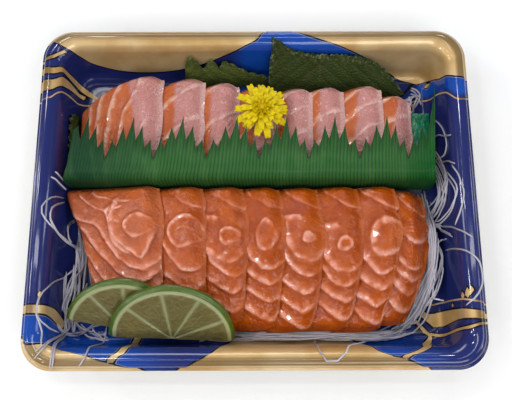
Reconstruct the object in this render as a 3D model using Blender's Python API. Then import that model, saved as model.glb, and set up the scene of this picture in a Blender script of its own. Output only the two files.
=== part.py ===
"""Sashimi tray: a deep printed plastic tray packed with two rows of sliced salmon.

The frame is metres, +Z up, +X to the right along the rows and +Y to the back of the tray.
The origin is the centre of the tray's foot.  Each slice of fish leans on its right-hand
neighbour like a fallen domino, so the left slice of a row shows its whole face.
"""
import math
import random
from collections import namedtuple

import bmesh
import bpy
from mathutils import Matrix, Vector

MM = 0.001
GAP = 0.35 * MM                      # clearance between pieces that touch

# Tray: one thermoformed sheet with a turned lip, a round crest and steep walls.
TRAY_LENGTH = 200 * MM
TRAY_WIDTH = 158 * MM
TRAY_HEIGHT = 28 * MM
SHEET = 0.7 * MM
LIP_WIDTH = 1.2 * MM
LIP_DROP = 3.6 * MM                  # lip below the top of the crest
CREST_RADIUS = 2.6 * MM
CREST_STEPS = 6
WALL_ANGLE = math.radians(75)
FLOOR_FILLET = 5 * MM
FILLET_STEPS = 4
CORNER_RADIUS = 14 * MM
CORNER_TIGHTENING = 0.55             # loss of corner radius for each unit of inset
CORNER_LEAST = 5 * MM
CORNER_STEPS = 7

# Slices: both rows share one lean, so that neighbours lie flat on each other.
LEAN = math.radians(22)
BED_TOP = 2.0 * MM
STACK_TOP = 23.6 * MM                # height of the right-hand, upper edges
LAST_THICKNESS = 6.4 * MM
SLICE_CELLS = 7
EDGE_ROUNDING = 0.55                 # share of the thickness lost at a slice's edges
EDGE_POWER = 7

Row = namedtuple("Row", "name width rights starts ends")     # right edges, front and back ends
FRONT = Row("front_slice", 42.5 * MM,
            [value * MM for value in (-45.1, -25.4, -6.0, 10.8, 28.1, 46.4, 63.6, 78.0)],
            [value * MM for value in (-55.0, -55.5, -57.8, -60.4, -61.2, -60.6, -61.4, -58.4)],
            [value * MM for value in (4.4, 3.9, 3.5, 3.2, 3.1, 3.4, 3.3, 2.0)])
BACK = Row("back_slice", 41.6 * MM,
           [value * MM for value in (-47.4, -26.6, -10.4, 7.3, 24.9, 39.5, 57.8, 72.2)],
           [value * MM for value in (9.4, 8.6, 9.2, 8.4, 9.0, 8.5, 9.3, 9.6)],
           [value * MM for value in (60.2, 58.2, 55.8, 53.6, 52.2, 53.0, 53.4, 49.4)])

FRONT_CORNERS = 0.05                 # share of a front slice's length lost at its corners
FRONT_TAPER = 0.15                   # share of its width lost at its front end
FRONT_BOW = 2.4 * MM                 # upper edge drawn in at both ends
FRONT_FLARE = 5.4 * MM               # far left corner, drawn out and up the wall
FRONT_DROOP = (9.5 * MM, 0.55)       # upper edge of the last slice: fall and where it begins
FRONT_GATHER = (-22 * MM, -10 * MM, 2.5)     # front ends drawn in: from y, towards x, per metre
BACK_CUT = 16 * MM                   # far left corner of a back slice, cut away
BACK_BOW = 3.2 * MM                  # far right corner, rounded off
BACK_DROOP = (5 * MM, 0.6)

# Sag towards the bed: where it begins, the run over which it grows and its share of the height.
FRONT_SAG = (-36 * MM, 20 * MM, 0.80)        # under the limes
FRONT_SAG_EASED = ((-40 * MM, -14 * MM, 0.35), (-10 * MM, 12 * MM, 0.17))    # less of it to the right
FRONT_BACK_SAG = (-4 * MM, 8 * MM, 0.10)
BACK_FRONT_SAG = (17 * MM, 9 * MM, 0.16)
BACK_SAG = (44 * MM, 14 * MM, 0.10)

# Divider: a thin toothed film that stands between the rows and folds over the back one.
# It repeats a unit of one tall, two middle and two short blades.
DIVIDER_SHEET = 0.3 * MM
# Path of the film from its foot to its tall tips: y, z, left end, right end and normal's angle.
DIVIDER_PATH = [(6.2, 3.0, -86.2, 84.6, 0), (6.2, 18.5, -87.8, 83.6, 15), (8.0, 23.1, -86.8, 82.6, 50),
                (12.0, 25.0, -85.2, 82.2, 80), (34.0, 27.0, -82.0, 83.0, 86)]
TALL_BLADES = [value * MM for value in (-75.8, -55.2, -32.5, -7.7, 15.1, 37.1, 61.0, 81.0)]
# Share of a unit's width and distance back from the tall tip, for half of a unit.
BLADE_POINTS = [(0.0, 0.0), (0.1, 8.4), (0.2, 5.4), (0.3, 13.6), (0.4, 10.6), (0.5, 19.6)]
LEFT_END_BACK = 2 * MM               # left end of the film, behind its first blade
LAST_BLADE_REACH = 14 * MM           # right end of the film, a lone blade past the tall tips

# Garnishes.
LIME_THICKNESS = 3.4 * MM
LIME_TILT = math.radians(45)
LIME_STEPS = 20
# Middle of the cut edge on the upper face, radius and turn in the slice's own plane.
LIMES = {"lime_front": ((-36.8 * MM, -64.9 * MM, 12.7 * MM), 27.2 * MM, math.radians(-3)),
         "lime_back": ((-59.3 * MM, -57.2 * MM, 13.2 * MM), 23.5 * MM, math.radians(-8))}

FLOWER_PLACE = (4.0 * MM, 37.6 * MM, 24.0 * MM)
FLOWER_RADIUS = 11.6 * MM
FLOWER_HEIGHT = 8.4 * MM
FLOWER_PETALS = 18
PETAL_NOTCH = 0.07                   # half of the notch's depth, as a share of the radius
PETAL_RISE = 0.45                    # rise of the rim and of the heart, as shares of the height
HEART_RISE = 0.72
HEART_BASE = 0.10

LEAF_SHEET = 0.4 * MM
LEAF_TOOTH = 0.035                   # depth of a margin tooth, as a share of the leaf's height

# Sachet: low corner, size, bulge and rise to the back.
SACHET_LOW = (75.2 * MM, 8.8 * MM, 9.5 * MM)
SACHET_SIZE = (8.6 * MM, 32.0 * MM, 2.8 * MM)
SACHET_SEAM = 0.18                   # share of the thickness left at the seams
SACHET_RISE = 3.0 * MM

# Radish: a mat with heaps in the gutters, as height, start and end across, middle and reach along.
RADISH_SIZE = (166 * MM, 122.8 * MM)
RADISH_CELLS = (18, 12)
RADISH_MAT = 1.5 * MM
RADISH_UNEVEN = 0.3 * MM
RIGHT_HEAP = (6.5 * MM, 79 * MM, 82 * MM, -32 * MM, 16 * MM, 30 * MM)
LEFT_HEAP = (5.0 * MM, 81 * MM, 83 * MM, -38 * MM, 12 * MM, 20 * MM)
FRONT_HEAP = (3.0 * MM, 61 * MM, 61.3 * MM, 30 * MM, 25 * MM, 40 * MM)
RADISH_SPILL = 0.55                  # spread over the floor's fillet for each unit of height
RADISH_SPILL_MOST = 3 * MM


def clear_scene():
    for item in list(bpy.data.objects):
        bpy.data.objects.remove(item, do_unlink=True)


def material(name, color, roughness):
    finish = bpy.data.materials.new(name)
    finish.use_nodes = True
    shader = finish.node_tree.nodes["Principled BSDF"]
    shader.inputs["Base Color"].default_value = (*color, 1)
    shader.inputs["Roughness"].default_value = roughness
    return finish


def add_object(name, bm, finish, smooth_angle=math.radians(40)):
    bmesh.ops.recalc_face_normals(bm, faces=bm.faces)
    if bm.calc_volume(signed=True) < 0:
        bmesh.ops.reverse_faces(bm, faces=bm.faces)
    mesh = bpy.data.meshes.new(name)
    bm.to_mesh(mesh)
    bm.free()
    mesh.shade_smooth()
    mesh.set_sharp_from_angle(angle=smooth_angle)
    mesh.materials.append(finish)
    item = bpy.data.objects.new(name, mesh)
    bpy.context.scene.collection.objects.link(item)
    return item


def blend(value, low, high):
    """Smooth step from 0 at low to 1 at high."""
    t = min(max((value - low) / (high - low), 0), 1)
    return t * t * (3 - 2 * t)


def block(columns, rows, place):
    """Closed block of a columns x rows grid; place(a, b, c) gives each point's position."""
    bm = bmesh.new()
    bmesh.ops.create_grid(bm, x_segments=columns, y_segments=rows, size=0.5)
    grown = bmesh.ops.extrude_face_region(bm, geom=bm.faces[:], use_keep_orig=True)
    top = {vert for vert in grown["geom"] if isinstance(vert, bmesh.types.BMVert)}
    for vert in bm.verts:
        vert.co = place(vert.co.x + 0.5, vert.co.y + 0.5, 1 if vert in top else 0)
    return bm


# ---------------------------------------------------------------- tray

def tray_profile():
    """Inset from the outer edge and height, from the lip over the crest to the floor."""
    centre = LIP_WIDTH + CREST_RADIUS
    crest = TRAY_HEIGHT - CREST_RADIUS
    points = [(0, TRAY_HEIGHT - LIP_DROP), (LIP_WIDTH, TRAY_HEIGHT - LIP_DROP)]
    for step in range(CREST_STEPS + 1):
        angle = (math.pi / 2 + WALL_ANGLE) * step / CREST_STEPS
        points.append((centre - CREST_RADIUS * math.cos(angle), crest + CREST_RADIUS * math.sin(angle)))
    wall_top, wall_height = points[-1]
    foot = SHEET + FLOOR_FILLET * (1 - math.cos(WALL_ANGLE))
    run = (wall_height - foot) / math.tan(WALL_ANGLE)
    fillet = wall_top + run + FLOOR_FILLET * math.sin(WALL_ANGLE)
    for step in range(FILLET_STEPS + 1):
        angle = WALL_ANGLE * (1 - step / FILLET_STEPS)
        points.append((fillet - FLOOR_FILLET * math.sin(angle),
                       SHEET + FLOOR_FILLET * (1 - math.cos(angle))))
    return points


def rounded_loop(bm, inset, height):
    """Closed loop of edges: the tray's plan, drawn in by inset."""
    radius = max(CORNER_RADIUS - CORNER_TIGHTENING * inset, CORNER_LEAST)
    reach_x = TRAY_LENGTH / 2 - inset - radius
    reach_y = TRAY_WIDTH / 2 - inset - radius
    verts = []
    for corner in range(4):
        side_x = (1, -1, -1, 1)[corner]
        side_y = (1, 1, -1, -1)[corner]
        for step in range(CORNER_STEPS + 1):
            angle = math.pi / 2 * (corner + step / CORNER_STEPS)
            verts.append(bm.verts.new((side_x * reach_x + radius * math.cos(angle),
                                       side_y * reach_y + radius * math.sin(angle), height)))
    return [bm.edges.new((verts[i - 1], verts[i])) for i in range(len(verts))]


def make_tray():
    bm = bmesh.new()
    loops = [rounded_loop(bm, inset, height) for inset, height in tray_profile()]
    for outer, inner in zip(loops, loops[1:]):
        bmesh.ops.bridge_loops(bm, edges=outer + inner)
    bmesh.ops.contextual_create(bm, geom=loops[-1])
    bmesh.ops.recalc_face_normals(bm, faces=bm.faces)
    floor = max(bm.faces, key=lambda face: face.calc_area())
    if floor.normal.z < 0:
        bmesh.ops.reverse_faces(bm, faces=bm.faces)
    mesh = bpy.data.meshes.new("tray")
    bm.to_mesh(mesh)
    bm.free()
    mesh.shade_smooth()
    mesh.materials.append(material("printed_plastic", (0.03, 0.03, 0.16), 0.15))
    tray = bpy.data.objects.new("tray", mesh)
    bpy.context.scene.collection.objects.link(tray)
    shell = tray.modifiers.new("Solidify", "SOLIDIFY")
    shell.thickness = SHEET
    shell.offset = -1
    shell.use_even_offset = True


# ---------------------------------------------------------------- fish

def spread(u):
    """Moves a grid line, 0 to 1, towards the edges, where a slice is rounded."""
    return 0.5 + (u - 0.5) * (1.4 - 1.6 * (u - 0.5) ** 2)


def edge_rounding(u):
    """Share of the full thickness at u across a slice, from 0 to 1."""
    return 1 - EDGE_ROUNDING * abs(2 * u - 1) ** EDGE_POWER


def past(value, start, run):
    """Square of how far value is beyond start, in runs; a negative run looks the other way."""
    return max(0, (value - start) / run) ** 2


def front_sag(x, y):
    """How far the front row sinks to the bed, from 0 to 1."""
    start, run, share = FRONT_SAG
    for low, high, eased in FRONT_SAG_EASED:
        share -= eased * blend(x, low, high)
    back_start, back_run, back_share = FRONT_BACK_SAG
    return share * past(y, start, -run) + back_share * past(y, back_start, back_run)


def back_sag(y):
    front_start, front_run, front_share = BACK_FRONT_SAG
    start, run, share = BACK_SAG
    return front_share * past(y, front_start, -front_run) + share * past(y, start, run)


def droop(a, fall, start):
    """Fall of the last slice's upper edge, which nothing holds up."""
    return fall * max(0, (a - start) / (1 - start)) ** 1.6


def leaning_point(row, index, along, rounding, c):
    """Point of a leaning slab: along its slope from the upper edge and c through it."""
    thickness = LAST_THICKNESS
    if index + 1 < len(row.rights):
        thickness = (row.rights[index + 1] - row.rights[index]) * math.sin(LEAN) - GAP
    lift = ((c - 0.5) * rounding - 0.5) * thickness
    x = row.rights[index] + along * math.cos(LEAN) - lift * math.sin(LEAN)
    z = STACK_TOP + along * math.sin(LEAN) + lift * math.cos(LEAN)
    return x, z


def front_point(index, a, b, c):
    """Point of a front slice: a runs up its slope, b to the back and c through it."""
    start = FRONT.starts[index]
    end = FRONT.ends[index]
    y = (start + end) / 2 + (b - 0.5) * (end - start) * (1 - FRONT_CORNERS * abs(2 * a - 1) ** 5)
    along = (a - 1) * FRONT.width * (1 - FRONT_TAPER * (1 - b * b))
    along -= FRONT_BOW * abs(2 * b - 1) ** 5 * max(0, 2 * a - 1)
    x, z = leaning_point(FRONT, index, along, edge_rounding(a) * edge_rounding(b), c)
    if index == 0:
        flare = FRONT_FLARE * (1 - a) ** 3 * blend(b, 0.5, 1)
        x -= flare
        z += 1.2 * flare
    if index == len(FRONT.rights) - 1:
        z -= droop(a, *FRONT_DROOP)
    z = BED_TOP + (z - BED_TOP) * (1 - front_sag(x, y))
    gather_start, pivot, rate = FRONT_GATHER
    x = pivot + (x - pivot) * (1 - rate * max(0, gather_start - y))
    return Vector((x, y, z))


def back_point(index, a, b, c):
    """Point of a back slice, laid like the front ones."""
    length = BACK.ends[index] - BACK.starts[index]
    length -= BACK_CUT * (1 - a) ** 2.4
    length -= BACK_BOW * max(0, 2 * a - 1) ** 6
    y = BACK.starts[index] + b * length
    x, z = leaning_point(BACK, index, (a - 1) * BACK.width, edge_rounding(a) * edge_rounding(b), c)
    if index == len(BACK.rights) - 1:
        z -= droop(a, *BACK_DROOP)
    z = BED_TOP + (z - BED_TOP) * (1 - back_sag(y))
    return Vector((x, y, z))


def make_slices(row, point, finish):
    for index in range(len(row.rights)):
        bm = block(SLICE_CELLS, SLICE_CELLS, lambda a, b, c: point(index, spread(a), spread(b), c))
        add_object(f"{row.name}_{index + 1}", bm, finish)


# ---------------------------------------------------------------- divider

def blade_margin():
    """Columns of the film from left to right: x and how far the margin is from the tall tips."""
    columns = []
    for index, tall in enumerate(TALL_BLADES):
        left = TALL_BLADES[max(index - 1, 0)]
        right = TALL_BLADES[min(index + 1, len(TALL_BLADES) - 1)]
        before = tall - left if index else right - tall
        after = right - tall if index + 1 < len(TALL_BLADES) else before
        columns += [(tall - share * before, back * MM) for share, back in reversed(BLADE_POINTS[1:])]
        columns += [(tall + share * after, back * MM) for share, back in BLADE_POINTS[:-1]]
    low = DIVIDER_PATH[-1][2] * MM
    high = DIVIDER_PATH[-1][3] * MM
    kept = [column for column in columns if low + GAP < column[0] < high - GAP]
    return [(low, kept[0][1] + LEFT_END_BACK)] + kept + [(high, -LAST_BLADE_REACH)]


def make_divider():
    margin = blade_margin()
    rows = len(DIVIDER_PATH) - 1
    last_y, last_z = DIVIDER_PATH[rows][:2]
    before_y, before_z = DIVIDER_PATH[rows - 1][:2]
    rise = (last_z - before_z) / (last_y - before_y)

    def place(a, b, c):
        x, back = margin[round(a * (len(margin) - 1))]
        y, z, left, right, angle = DIVIDER_PATH[round(b * rows)]
        share = (x - margin[0][0]) / (margin[-1][0] - margin[0][0])
        if b == 1:
            y -= back / MM
            z -= rise * back / MM
        turn = math.radians(angle)
        out = c * DIVIDER_SHEET
        return Vector(((left + share * (right - left)) * MM,
                       y * MM - out * math.cos(turn),
                       z * MM + out * math.sin(turn)))

    bm = block(len(margin) - 1, rows, place)
    add_object("divider", bm, material("green_film", (0.03, 0.16, 0.05), 0.3))


# ---------------------------------------------------------------- leaves

class Plane:
    """Slanted plane: maps a distance across and a height to a point."""

    def __init__(self, start, across, rise):
        self.start = Vector(start)
        self.across = Vector(across)
        self.rise = Vector(rise)
        self.normal = self.across.cross(self.rise).normalized()

    def __call__(self, across, height):
        return self.start + across * self.across + height * self.rise


def along_outline(outline, share):
    """Point at a share, 0 to 1, of a line of evenly counted points."""
    place = share * (len(outline) - 1)
    index = min(int(place), len(outline) - 2)
    return Vector(outline[index]).lerp(Vector(outline[index + 1]), place - index)


def toothed_leaf(name, plane, foot, margin, finish):
    """Leaf between its foot and its margin, both outlines of (across, height) points in mm."""
    cells = 3 * (len(margin) - 1)

    def place(a, b, c):
        tooth = LEAF_TOOTH * (round(a * cells) % 2)
        across, height = along_outline(foot, a).lerp(along_outline(margin, a), b * (1 - tooth))
        return plane(across * MM, height * MM) + c * LEAF_SHEET * plane.normal

    add_object(name, block(cells, 3, place), finish)


def make_leaves():
    finish = material("leaf", (0.03, 0.08, 0.02), 0.45)
    toothed_leaf("leaf_right", Plane((0, 53.1 * MM, 0), (1, 0, 0), (0, 0.72, 1)),
                 [(12, 2.5), (70, 2.5)],
                 [(10, 4), (9.2, 13), (9.4, 18.5), (11.5, 23.2), (8, 29), (13.3, 28.2), (17.2, 24.2),
                  (27.8, 21.5), (37.8, 23.1), (51, 20.6), (59.1, 17.6), (66.2, 11.5), (74.5, 3.5)], finish)
    toothed_leaf("leaf_left", Plane((0, 60.0 * MM, 0), (1, 0, 0), (0, 0.4, 1)),
                 [(-33.5, 2.5), (2, 2.5)],
                 [(-34, 5), (-32.5, 21), (-26.7, 17.5), (-23.2, 15.5), (-21, 19.2), (-17.6, 16.2),
                  (-15.1, 19.4), (-9.9, 17.1), (-2, 12.6), (4, 9)], finish)
    toothed_leaf("leaf_side", Plane((-85.4 * MM, 0, 0), (0, -1, 0), (-0.24, 0, 1)),
                 [(-42.5, 3), (-12.5, 3)],
                 [(-43, 6), (-41.5, 13.5), (-36, 15.5), (-27.5, 14), (-17.5, 13.5), (-12, 9)], finish)


# ---------------------------------------------------------------- other garnishes

def make_flower():
    """Flat-bottomed bloom: a ball whose rim is drawn out into petals."""
    bm = bmesh.new()
    bmesh.ops.create_uvsphere(bm, u_segments=2 * FLOWER_PETALS, v_segments=7, radius=1)
    for vert in bm.verts:
        azimuth = math.atan2(vert.co.y, vert.co.x)
        flat = math.hypot(vert.co.x, vert.co.y)
        notch = PETAL_NOTCH * (1 - math.cos(FLOWER_PETALS * azimuth))
        radius = FLOWER_RADIUS * flat ** 0.8 * (1 - notch * flat)
        height = PETAL_RISE * (radius / FLOWER_RADIUS) ** 2
        if vert.co.z > 0:
            height += HEART_RISE * (1 - flat) + HEART_BASE
        vert.co = Vector((radius * math.cos(azimuth), radius * math.sin(azimuth), height * FLOWER_HEIGHT))
    bmesh.ops.translate(bm, verts=bm.verts, vec=FLOWER_PLACE)
    add_object("flower", bm, material("petals", (0.65, 0.50, 0.01), 0.5))


def make_limes():
    """Half slices whose flat faces look up and forwards, with the cut edge below."""
    finish = material("lime", (0.30, 0.36, 0.10), 0.4)
    for name, (centre, radius, turn) in LIMES.items():
        bm = bmesh.new()
        rim = [bm.verts.new((radius * math.cos(angle), radius * math.sin(angle), 0))
               for angle in (math.pi * step / LIME_STEPS for step in range(LIME_STEPS + 1))]
        face = bm.faces.new(rim)
        grown = bmesh.ops.extrude_face_region(bm, geom=[face], use_keep_orig=True)
        verts = [item for item in grown["geom"] if isinstance(item, bmesh.types.BMVert)]
        bmesh.ops.translate(bm, verts=verts, vec=(0, 0, -LIME_THICKNESS))
        tilt = Matrix.Rotation(LIME_TILT, 4, "X") @ Matrix.Rotation(turn, 4, "Z")
        bmesh.ops.transform(bm, matrix=Matrix.Translation(centre) @ tilt, verts=bm.verts)
        add_object(name, bm, finish)


def make_sachet():
    """Flat pillow of film behind the divider's right end."""
    length, width, thickness = SACHET_SIZE

    def place(a, b, c):
        fill = (1 - abs(2 * a - 1) ** 3) * (1 - abs(2 * b - 1) ** 6)
        height = (c - 0.5) * thickness * (SACHET_SEAM + (1 - SACHET_SEAM) * fill)
        return Vector(SACHET_LOW) + Vector((a * length, b * width, thickness / 2 + b * SACHET_RISE + height))

    add_object("sachet", block(4, 6, place), material("emerald_film", (0.0, 0.35, 0.15), 0.2))


# ---------------------------------------------------------------- radish

def heap(across, along, shape):
    """Height of a heap in a gutter, from distances across and along the gutter."""
    height, start, end, middle, flat, reach = shape
    return height * blend(across, start, end) * blend(-abs(along - middle), -reach, -flat)


def spill(value, edge, height):
    """Moves an edge of the mat outwards, up the floor's fillet."""
    if abs(edge) < 0.99:
        return value
    over = max(0, height - 2 * MM)
    return value + math.copysign(min(RADISH_SPILL * over, RADISH_SPILL_MOST), value)


def make_radish_bed():
    """Low mat of shredded radish under the fish, heaped in the gutters beside and before it."""
    half_length = RADISH_SIZE[0] / 2
    half_width = RADISH_SIZE[1] / 2
    shuffle = random.Random(7)
    columns, rows = RADISH_CELLS
    bm = bmesh.new()
    bmesh.ops.create_grid(bm, x_segments=columns, y_segments=rows, size=1)
    rim = [edge for edge in bm.edges if edge.is_boundary]
    for vert in bm.verts:
        x = vert.co.x * half_length
        y = vert.co.y * half_width
        z = RADISH_MAT + RADISH_UNEVEN * shuffle.random()
        z += heap(x, y, RIGHT_HEAP) + heap(-x, y, LEFT_HEAP) + heap(-y, x, FRONT_HEAP)
        vert.co = Vector((spill(x, vert.co.x, z), spill(y, vert.co.y, z), z))
    grown = bmesh.ops.extrude_edge_only(bm, edges=rim)
    for vert in grown["geom"]:
        if isinstance(vert, bmesh.types.BMVert):
            vert.co.x = min(max(vert.co.x, -half_length), half_length)
            vert.co.y = min(max(vert.co.y, -half_width), half_width)
            vert.co.z = SHEET + GAP
    open_edges = [edge for edge in bm.edges if edge.is_boundary]
    bmesh.ops.contextual_create(bm, geom=open_edges)
    add_object("radish_bed", bm, material("radish", (0.55, 0.52, 0.58), 0.35))


def main():
    clear_scene()
    make_tray()
    make_slices(FRONT, front_point, material("salmon_loin", (0.75, 0.19, 0.05), 0.25))
    make_slices(BACK, back_point, material("salmon_belly", (0.70, 0.33, 0.22), 0.3))
    make_divider()
    make_leaves()
    make_flower()
    make_limes()
    make_sachet()
    make_radish_bed()


main()
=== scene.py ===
"""Tray of sliced salmon: a printed film tray, two rows of fish and their garnishes.

Lengths inside the shapes are millimetres, as the cook and the tray maker would say them;
each mesh is scaled to metres when its points are placed.
"""

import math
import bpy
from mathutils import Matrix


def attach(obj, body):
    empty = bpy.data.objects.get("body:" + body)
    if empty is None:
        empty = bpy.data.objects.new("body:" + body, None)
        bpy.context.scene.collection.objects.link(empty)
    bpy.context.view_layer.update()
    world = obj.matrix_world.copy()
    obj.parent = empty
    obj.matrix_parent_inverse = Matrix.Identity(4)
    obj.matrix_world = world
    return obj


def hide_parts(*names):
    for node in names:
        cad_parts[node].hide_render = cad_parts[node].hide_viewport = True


bl_info = {
    "name": "Sashimi Tray",
    "version": (1, 0, 0),
    "blender": (4, 5, 0),
    "location": "3D View > Sidebar > Sashimi",
    "description": "Two rows of sliced salmon with garnishes in a printed film tray",
    "category": "Object",
}

from collections import namedtuple

import bmesh
import bpy
import numpy as np
from bpy.props import FloatProperty, FloatVectorProperty, PointerProperty
from mathutils import Color, Matrix, Vector

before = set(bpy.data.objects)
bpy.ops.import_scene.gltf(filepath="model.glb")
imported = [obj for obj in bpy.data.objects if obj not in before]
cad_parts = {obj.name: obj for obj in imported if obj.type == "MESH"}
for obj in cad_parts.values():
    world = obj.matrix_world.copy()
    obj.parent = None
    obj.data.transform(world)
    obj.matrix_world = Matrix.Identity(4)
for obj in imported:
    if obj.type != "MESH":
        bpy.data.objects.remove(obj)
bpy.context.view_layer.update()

MM = 0.001
WELD = 1e-6                           # nearer points of a mesh are joined, in metres
EDGE = 1e-6                           # nearest that a share is to 0 or 1 when it isn't at an edge


# ---------------------------------------------------------------- finishes

def screen(red, green, blue):
    """Linear colour from levels of 0 to 255, as a screen shows them."""
    shares = (level / 255 for level in (red, green, blue))
    return (*(share / 12.92 if share <= 0.04045 else ((share + 0.055) / 1.055) ** 2.4
              for share in shares), 1.0)


class Value:
    """A number that varies over a surface.  Arithmetic on it adds Math nodes."""

    def __init__(self, finish, socket):
        self.finish = finish
        self.socket = socket

    def __add__(self, other):
        return self.finish.maths("ADD", self, other)

    def __sub__(self, other):
        return self.finish.maths("SUBTRACT", self, other)

    def __rsub__(self, other):
        return self.finish.maths("SUBTRACT", other, self)

    def __mul__(self, other):
        return self.finish.maths("MULTIPLY", self, other)

    def __abs__(self):
        return self.finish.maths("ABSOLUTE", self)

class Finish:
    """A material: one principled shader and the nodes that feed it."""

    def __init__(self, name, **constants):
        self.material = bpy.data.materials.new(name)
        self.material.use_nodes = True
        self.tree = self.material.node_tree
        self.shader = self.tree.nodes["Principled BSDF"]
        self.paint(**constants)

    def paint(self, **values):
        """Sets or links the shader's sockets, named with _ for a space."""
        for name, value in values.items():
            self.feed(self.shader.inputs[name.replace("_", " ")], value)

    def feed(self, socket, value):
        if isinstance(value, Value):
            self.tree.links.new(value.socket, socket)
        else:
            socket.default_value = (*value, 1) if isinstance(value, Color) else value

    def node(self, kind, settings=None, inputs=None, output=0):
        """Adds a node, with its settings first and then its sockets' values or links."""
        node = self.tree.nodes.new(kind)
        for name, value in (settings or {}).items():
            setattr(node, name, value)
        for key, value in (inputs or {}).items():
            self.feed(node.inputs[key], value)
        return Value(self, node.outputs[output])

    def maths(self, operation, *parts):
        return self.node("ShaderNodeMath", {"operation": operation}, dict(enumerate(parts)))

    def mix(self, share, low, high):
        """Colour between low and high."""
        return self.node("ShaderNodeMix", {"data_type": "RGBA"}, {0: share, 6: low, 7: high}, 2)

    def coats(self, color, *coats):
        """Colour under coats, each the share of it that shows and its colour."""
        for share, coat in coats:
            color = self.mix(share, color, coat)
        return color

    def step(self, value, low, high):
        """Smooth step from 0 at low to 1 at high."""
        return self.node("ShaderNodeMapRange", {"interpolation_type": "SMOOTHSTEP"},
                         {"Value": value, "From Min": low, "From Max": high})

    def field(self, name):
        """The piece's own number, given point by point."""
        return self.node("ShaderNodeAttribute", {"attribute_name": name}, output=2)

    def place(self, stretch=(1, 1, 1)):
        """Object coordinates, stretched."""
        own = self.node("ShaderNodeTexCoord", output=3)
        return self.node("ShaderNodeMapping", inputs={"Vector": own, "Scale": stretch})

    def noise(self, size, detail=3, roughness=0.5, stretch=(1, 1, 1)):
        """Cloudy number about 0.5, with lumps of a size in millimetres."""
        return self.node("ShaderNodeTexNoise", inputs={
            "Vector": self.place(stretch), "Scale": 1 / (size * MM), "Detail": detail,
            "Roughness": roughness})

    def cells(self, scale, place=None):
        """Distance to the edges of irregular cells."""
        return self.node("ShaderNodeTexVoronoi", {"feature": "DISTANCE_TO_EDGE"},
                         {"Vector": place or self.place(), "Scale": scale})

    def bump(self, height, depth):
        """Normal of a surface raised by height, 0 to 1, times a depth in millimetres."""
        return self.node("ShaderNodeBump", inputs={
            "Strength": 1.0, "Distance": depth * MM, "Height": height})


# ---------------------------------------------------------------- mesh helpers

def bell(value, width):
    """Smooth bump of 1 at 0, which has died away at about twice the width."""
    return np.exp(-(value / width) ** 2)


def blend(value, low, high):
    """Smooth step from 0 at low to 1 at high."""
    share = np.clip((value - low) / (high - low), 0, 1)
    return share * share * (3 - 2 * share)


def grid(columns, rows, size=0.5):
    bm = bmesh.new()
    bmesh.ops.create_grid(bm, x_segments=columns, y_segments=rows, size=size)
    return bm


def thicken(bm, layers=1):
    """Raises a flat skin into a closed block of layers, up to a height of 1."""
    skin = bm.faces[:]
    for layer in range(1, layers + 1):
        grown = bmesh.ops.extrude_face_region(bm, geom=skin, use_keep_orig=layer == 1)["geom"]
        skin = [part for part in grown if isinstance(part, bmesh.types.BMFace)]
        for part in grown:
            if isinstance(part, bmesh.types.BMVert):
                part.co.z = layer / layers
    bmesh.ops.recalc_face_normals(bm, faces=bm.faces)
    return bm


def into_mesh(bm, mesh):
    """Writes a bmesh to a mesh and returns the mesh's points."""
    bm.to_mesh(mesh)
    bm.free()
    points = np.empty(len(mesh.vertices) * 3, np.float32)
    mesh.vertices.foreach_get("co", points)
    return points.reshape(-1, 3).astype(float)


def release(bm):
    """Turns a unit block, centred across and along, into a mesh and its points' shares."""
    mesh = bpy.data.meshes.new("block")
    across, along, through = into_mesh(bm, mesh).T
    return mesh, across + 0.5, along + 0.5, through


def lattice(columns, rows, layers=1):
    """Closed block of a grid; also where each point is across, along and through it, 0 to 1."""
    return release(thicken(grid(columns, rows), layers))


def copies(template, count):
    """One mesh with count copies of a template, in order, and the template's points."""
    single = bpy.data.meshes.new("single")
    points = into_mesh(template, single)
    bm = bmesh.new()
    for _ in range(count):
        bm.from_mesh(single)
    mesh = bpy.data.meshes.new("copies")
    into_mesh(bm, mesh)
    bpy.data.meshes.remove(single)
    return mesh, points


def place_points(mesh, points, fields):
    """Places a mesh's points, in millimetres, gives them their numbers and opens the mesh."""
    places = np.stack([np.broadcast_to(part, points[0].shape) for part in points], axis=-1) * MM
    mesh.vertices.foreach_set("co", places.astype(np.float32).ravel())
    for field, values in fields.items():
        layer = mesh.attributes.new(field, "FLOAT", "POINT")
        layer.data.foreach_set("value", np.ravel(values).astype(np.float32))
    bm = bmesh.new()
    bm.from_mesh(mesh)
    return bm


def add_object(name, data):
    thing = bpy.data.objects.new(name, data)
    bpy.context.scene.collection.objects.link(thing)
    return thing


def add_finished(name, mesh, finishes, node):
    """Adds a smooth mesh as a finished piece."""
    mesh.name = name
    mesh.shade_smooth()
    for finish in finishes:
        mesh.materials.append(finish.material)
    piece = add_object(name, mesh)
    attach(piece, "root")
    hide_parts(node)
    return piece


def add_piece(name, mesh, points, finish, slot, node, sharp=None, close=False, **fields):
    """Adds a closed piece, its edges over a sharp angle creased; fields are its own numbers."""
    bm = place_points(mesh, points, fields)
    if close:
        bmesh.ops.remove_doubles(bm, verts=bm.verts, dist=WELD)
        bmesh.ops.recalc_face_normals(bm, faces=bm.faces)
    if bm.calc_volume(signed=True) < 0:
        bmesh.ops.reverse_faces(bm, faces=bm.faces)
    into_mesh(bm, mesh)
    add_finished(name, mesh, [finish], node)
    if sharp:
        mesh.set_sharp_from_angle(angle=math.radians(sharp))


LUMPS = 48                            # lumps in a row before they repeat


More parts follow.
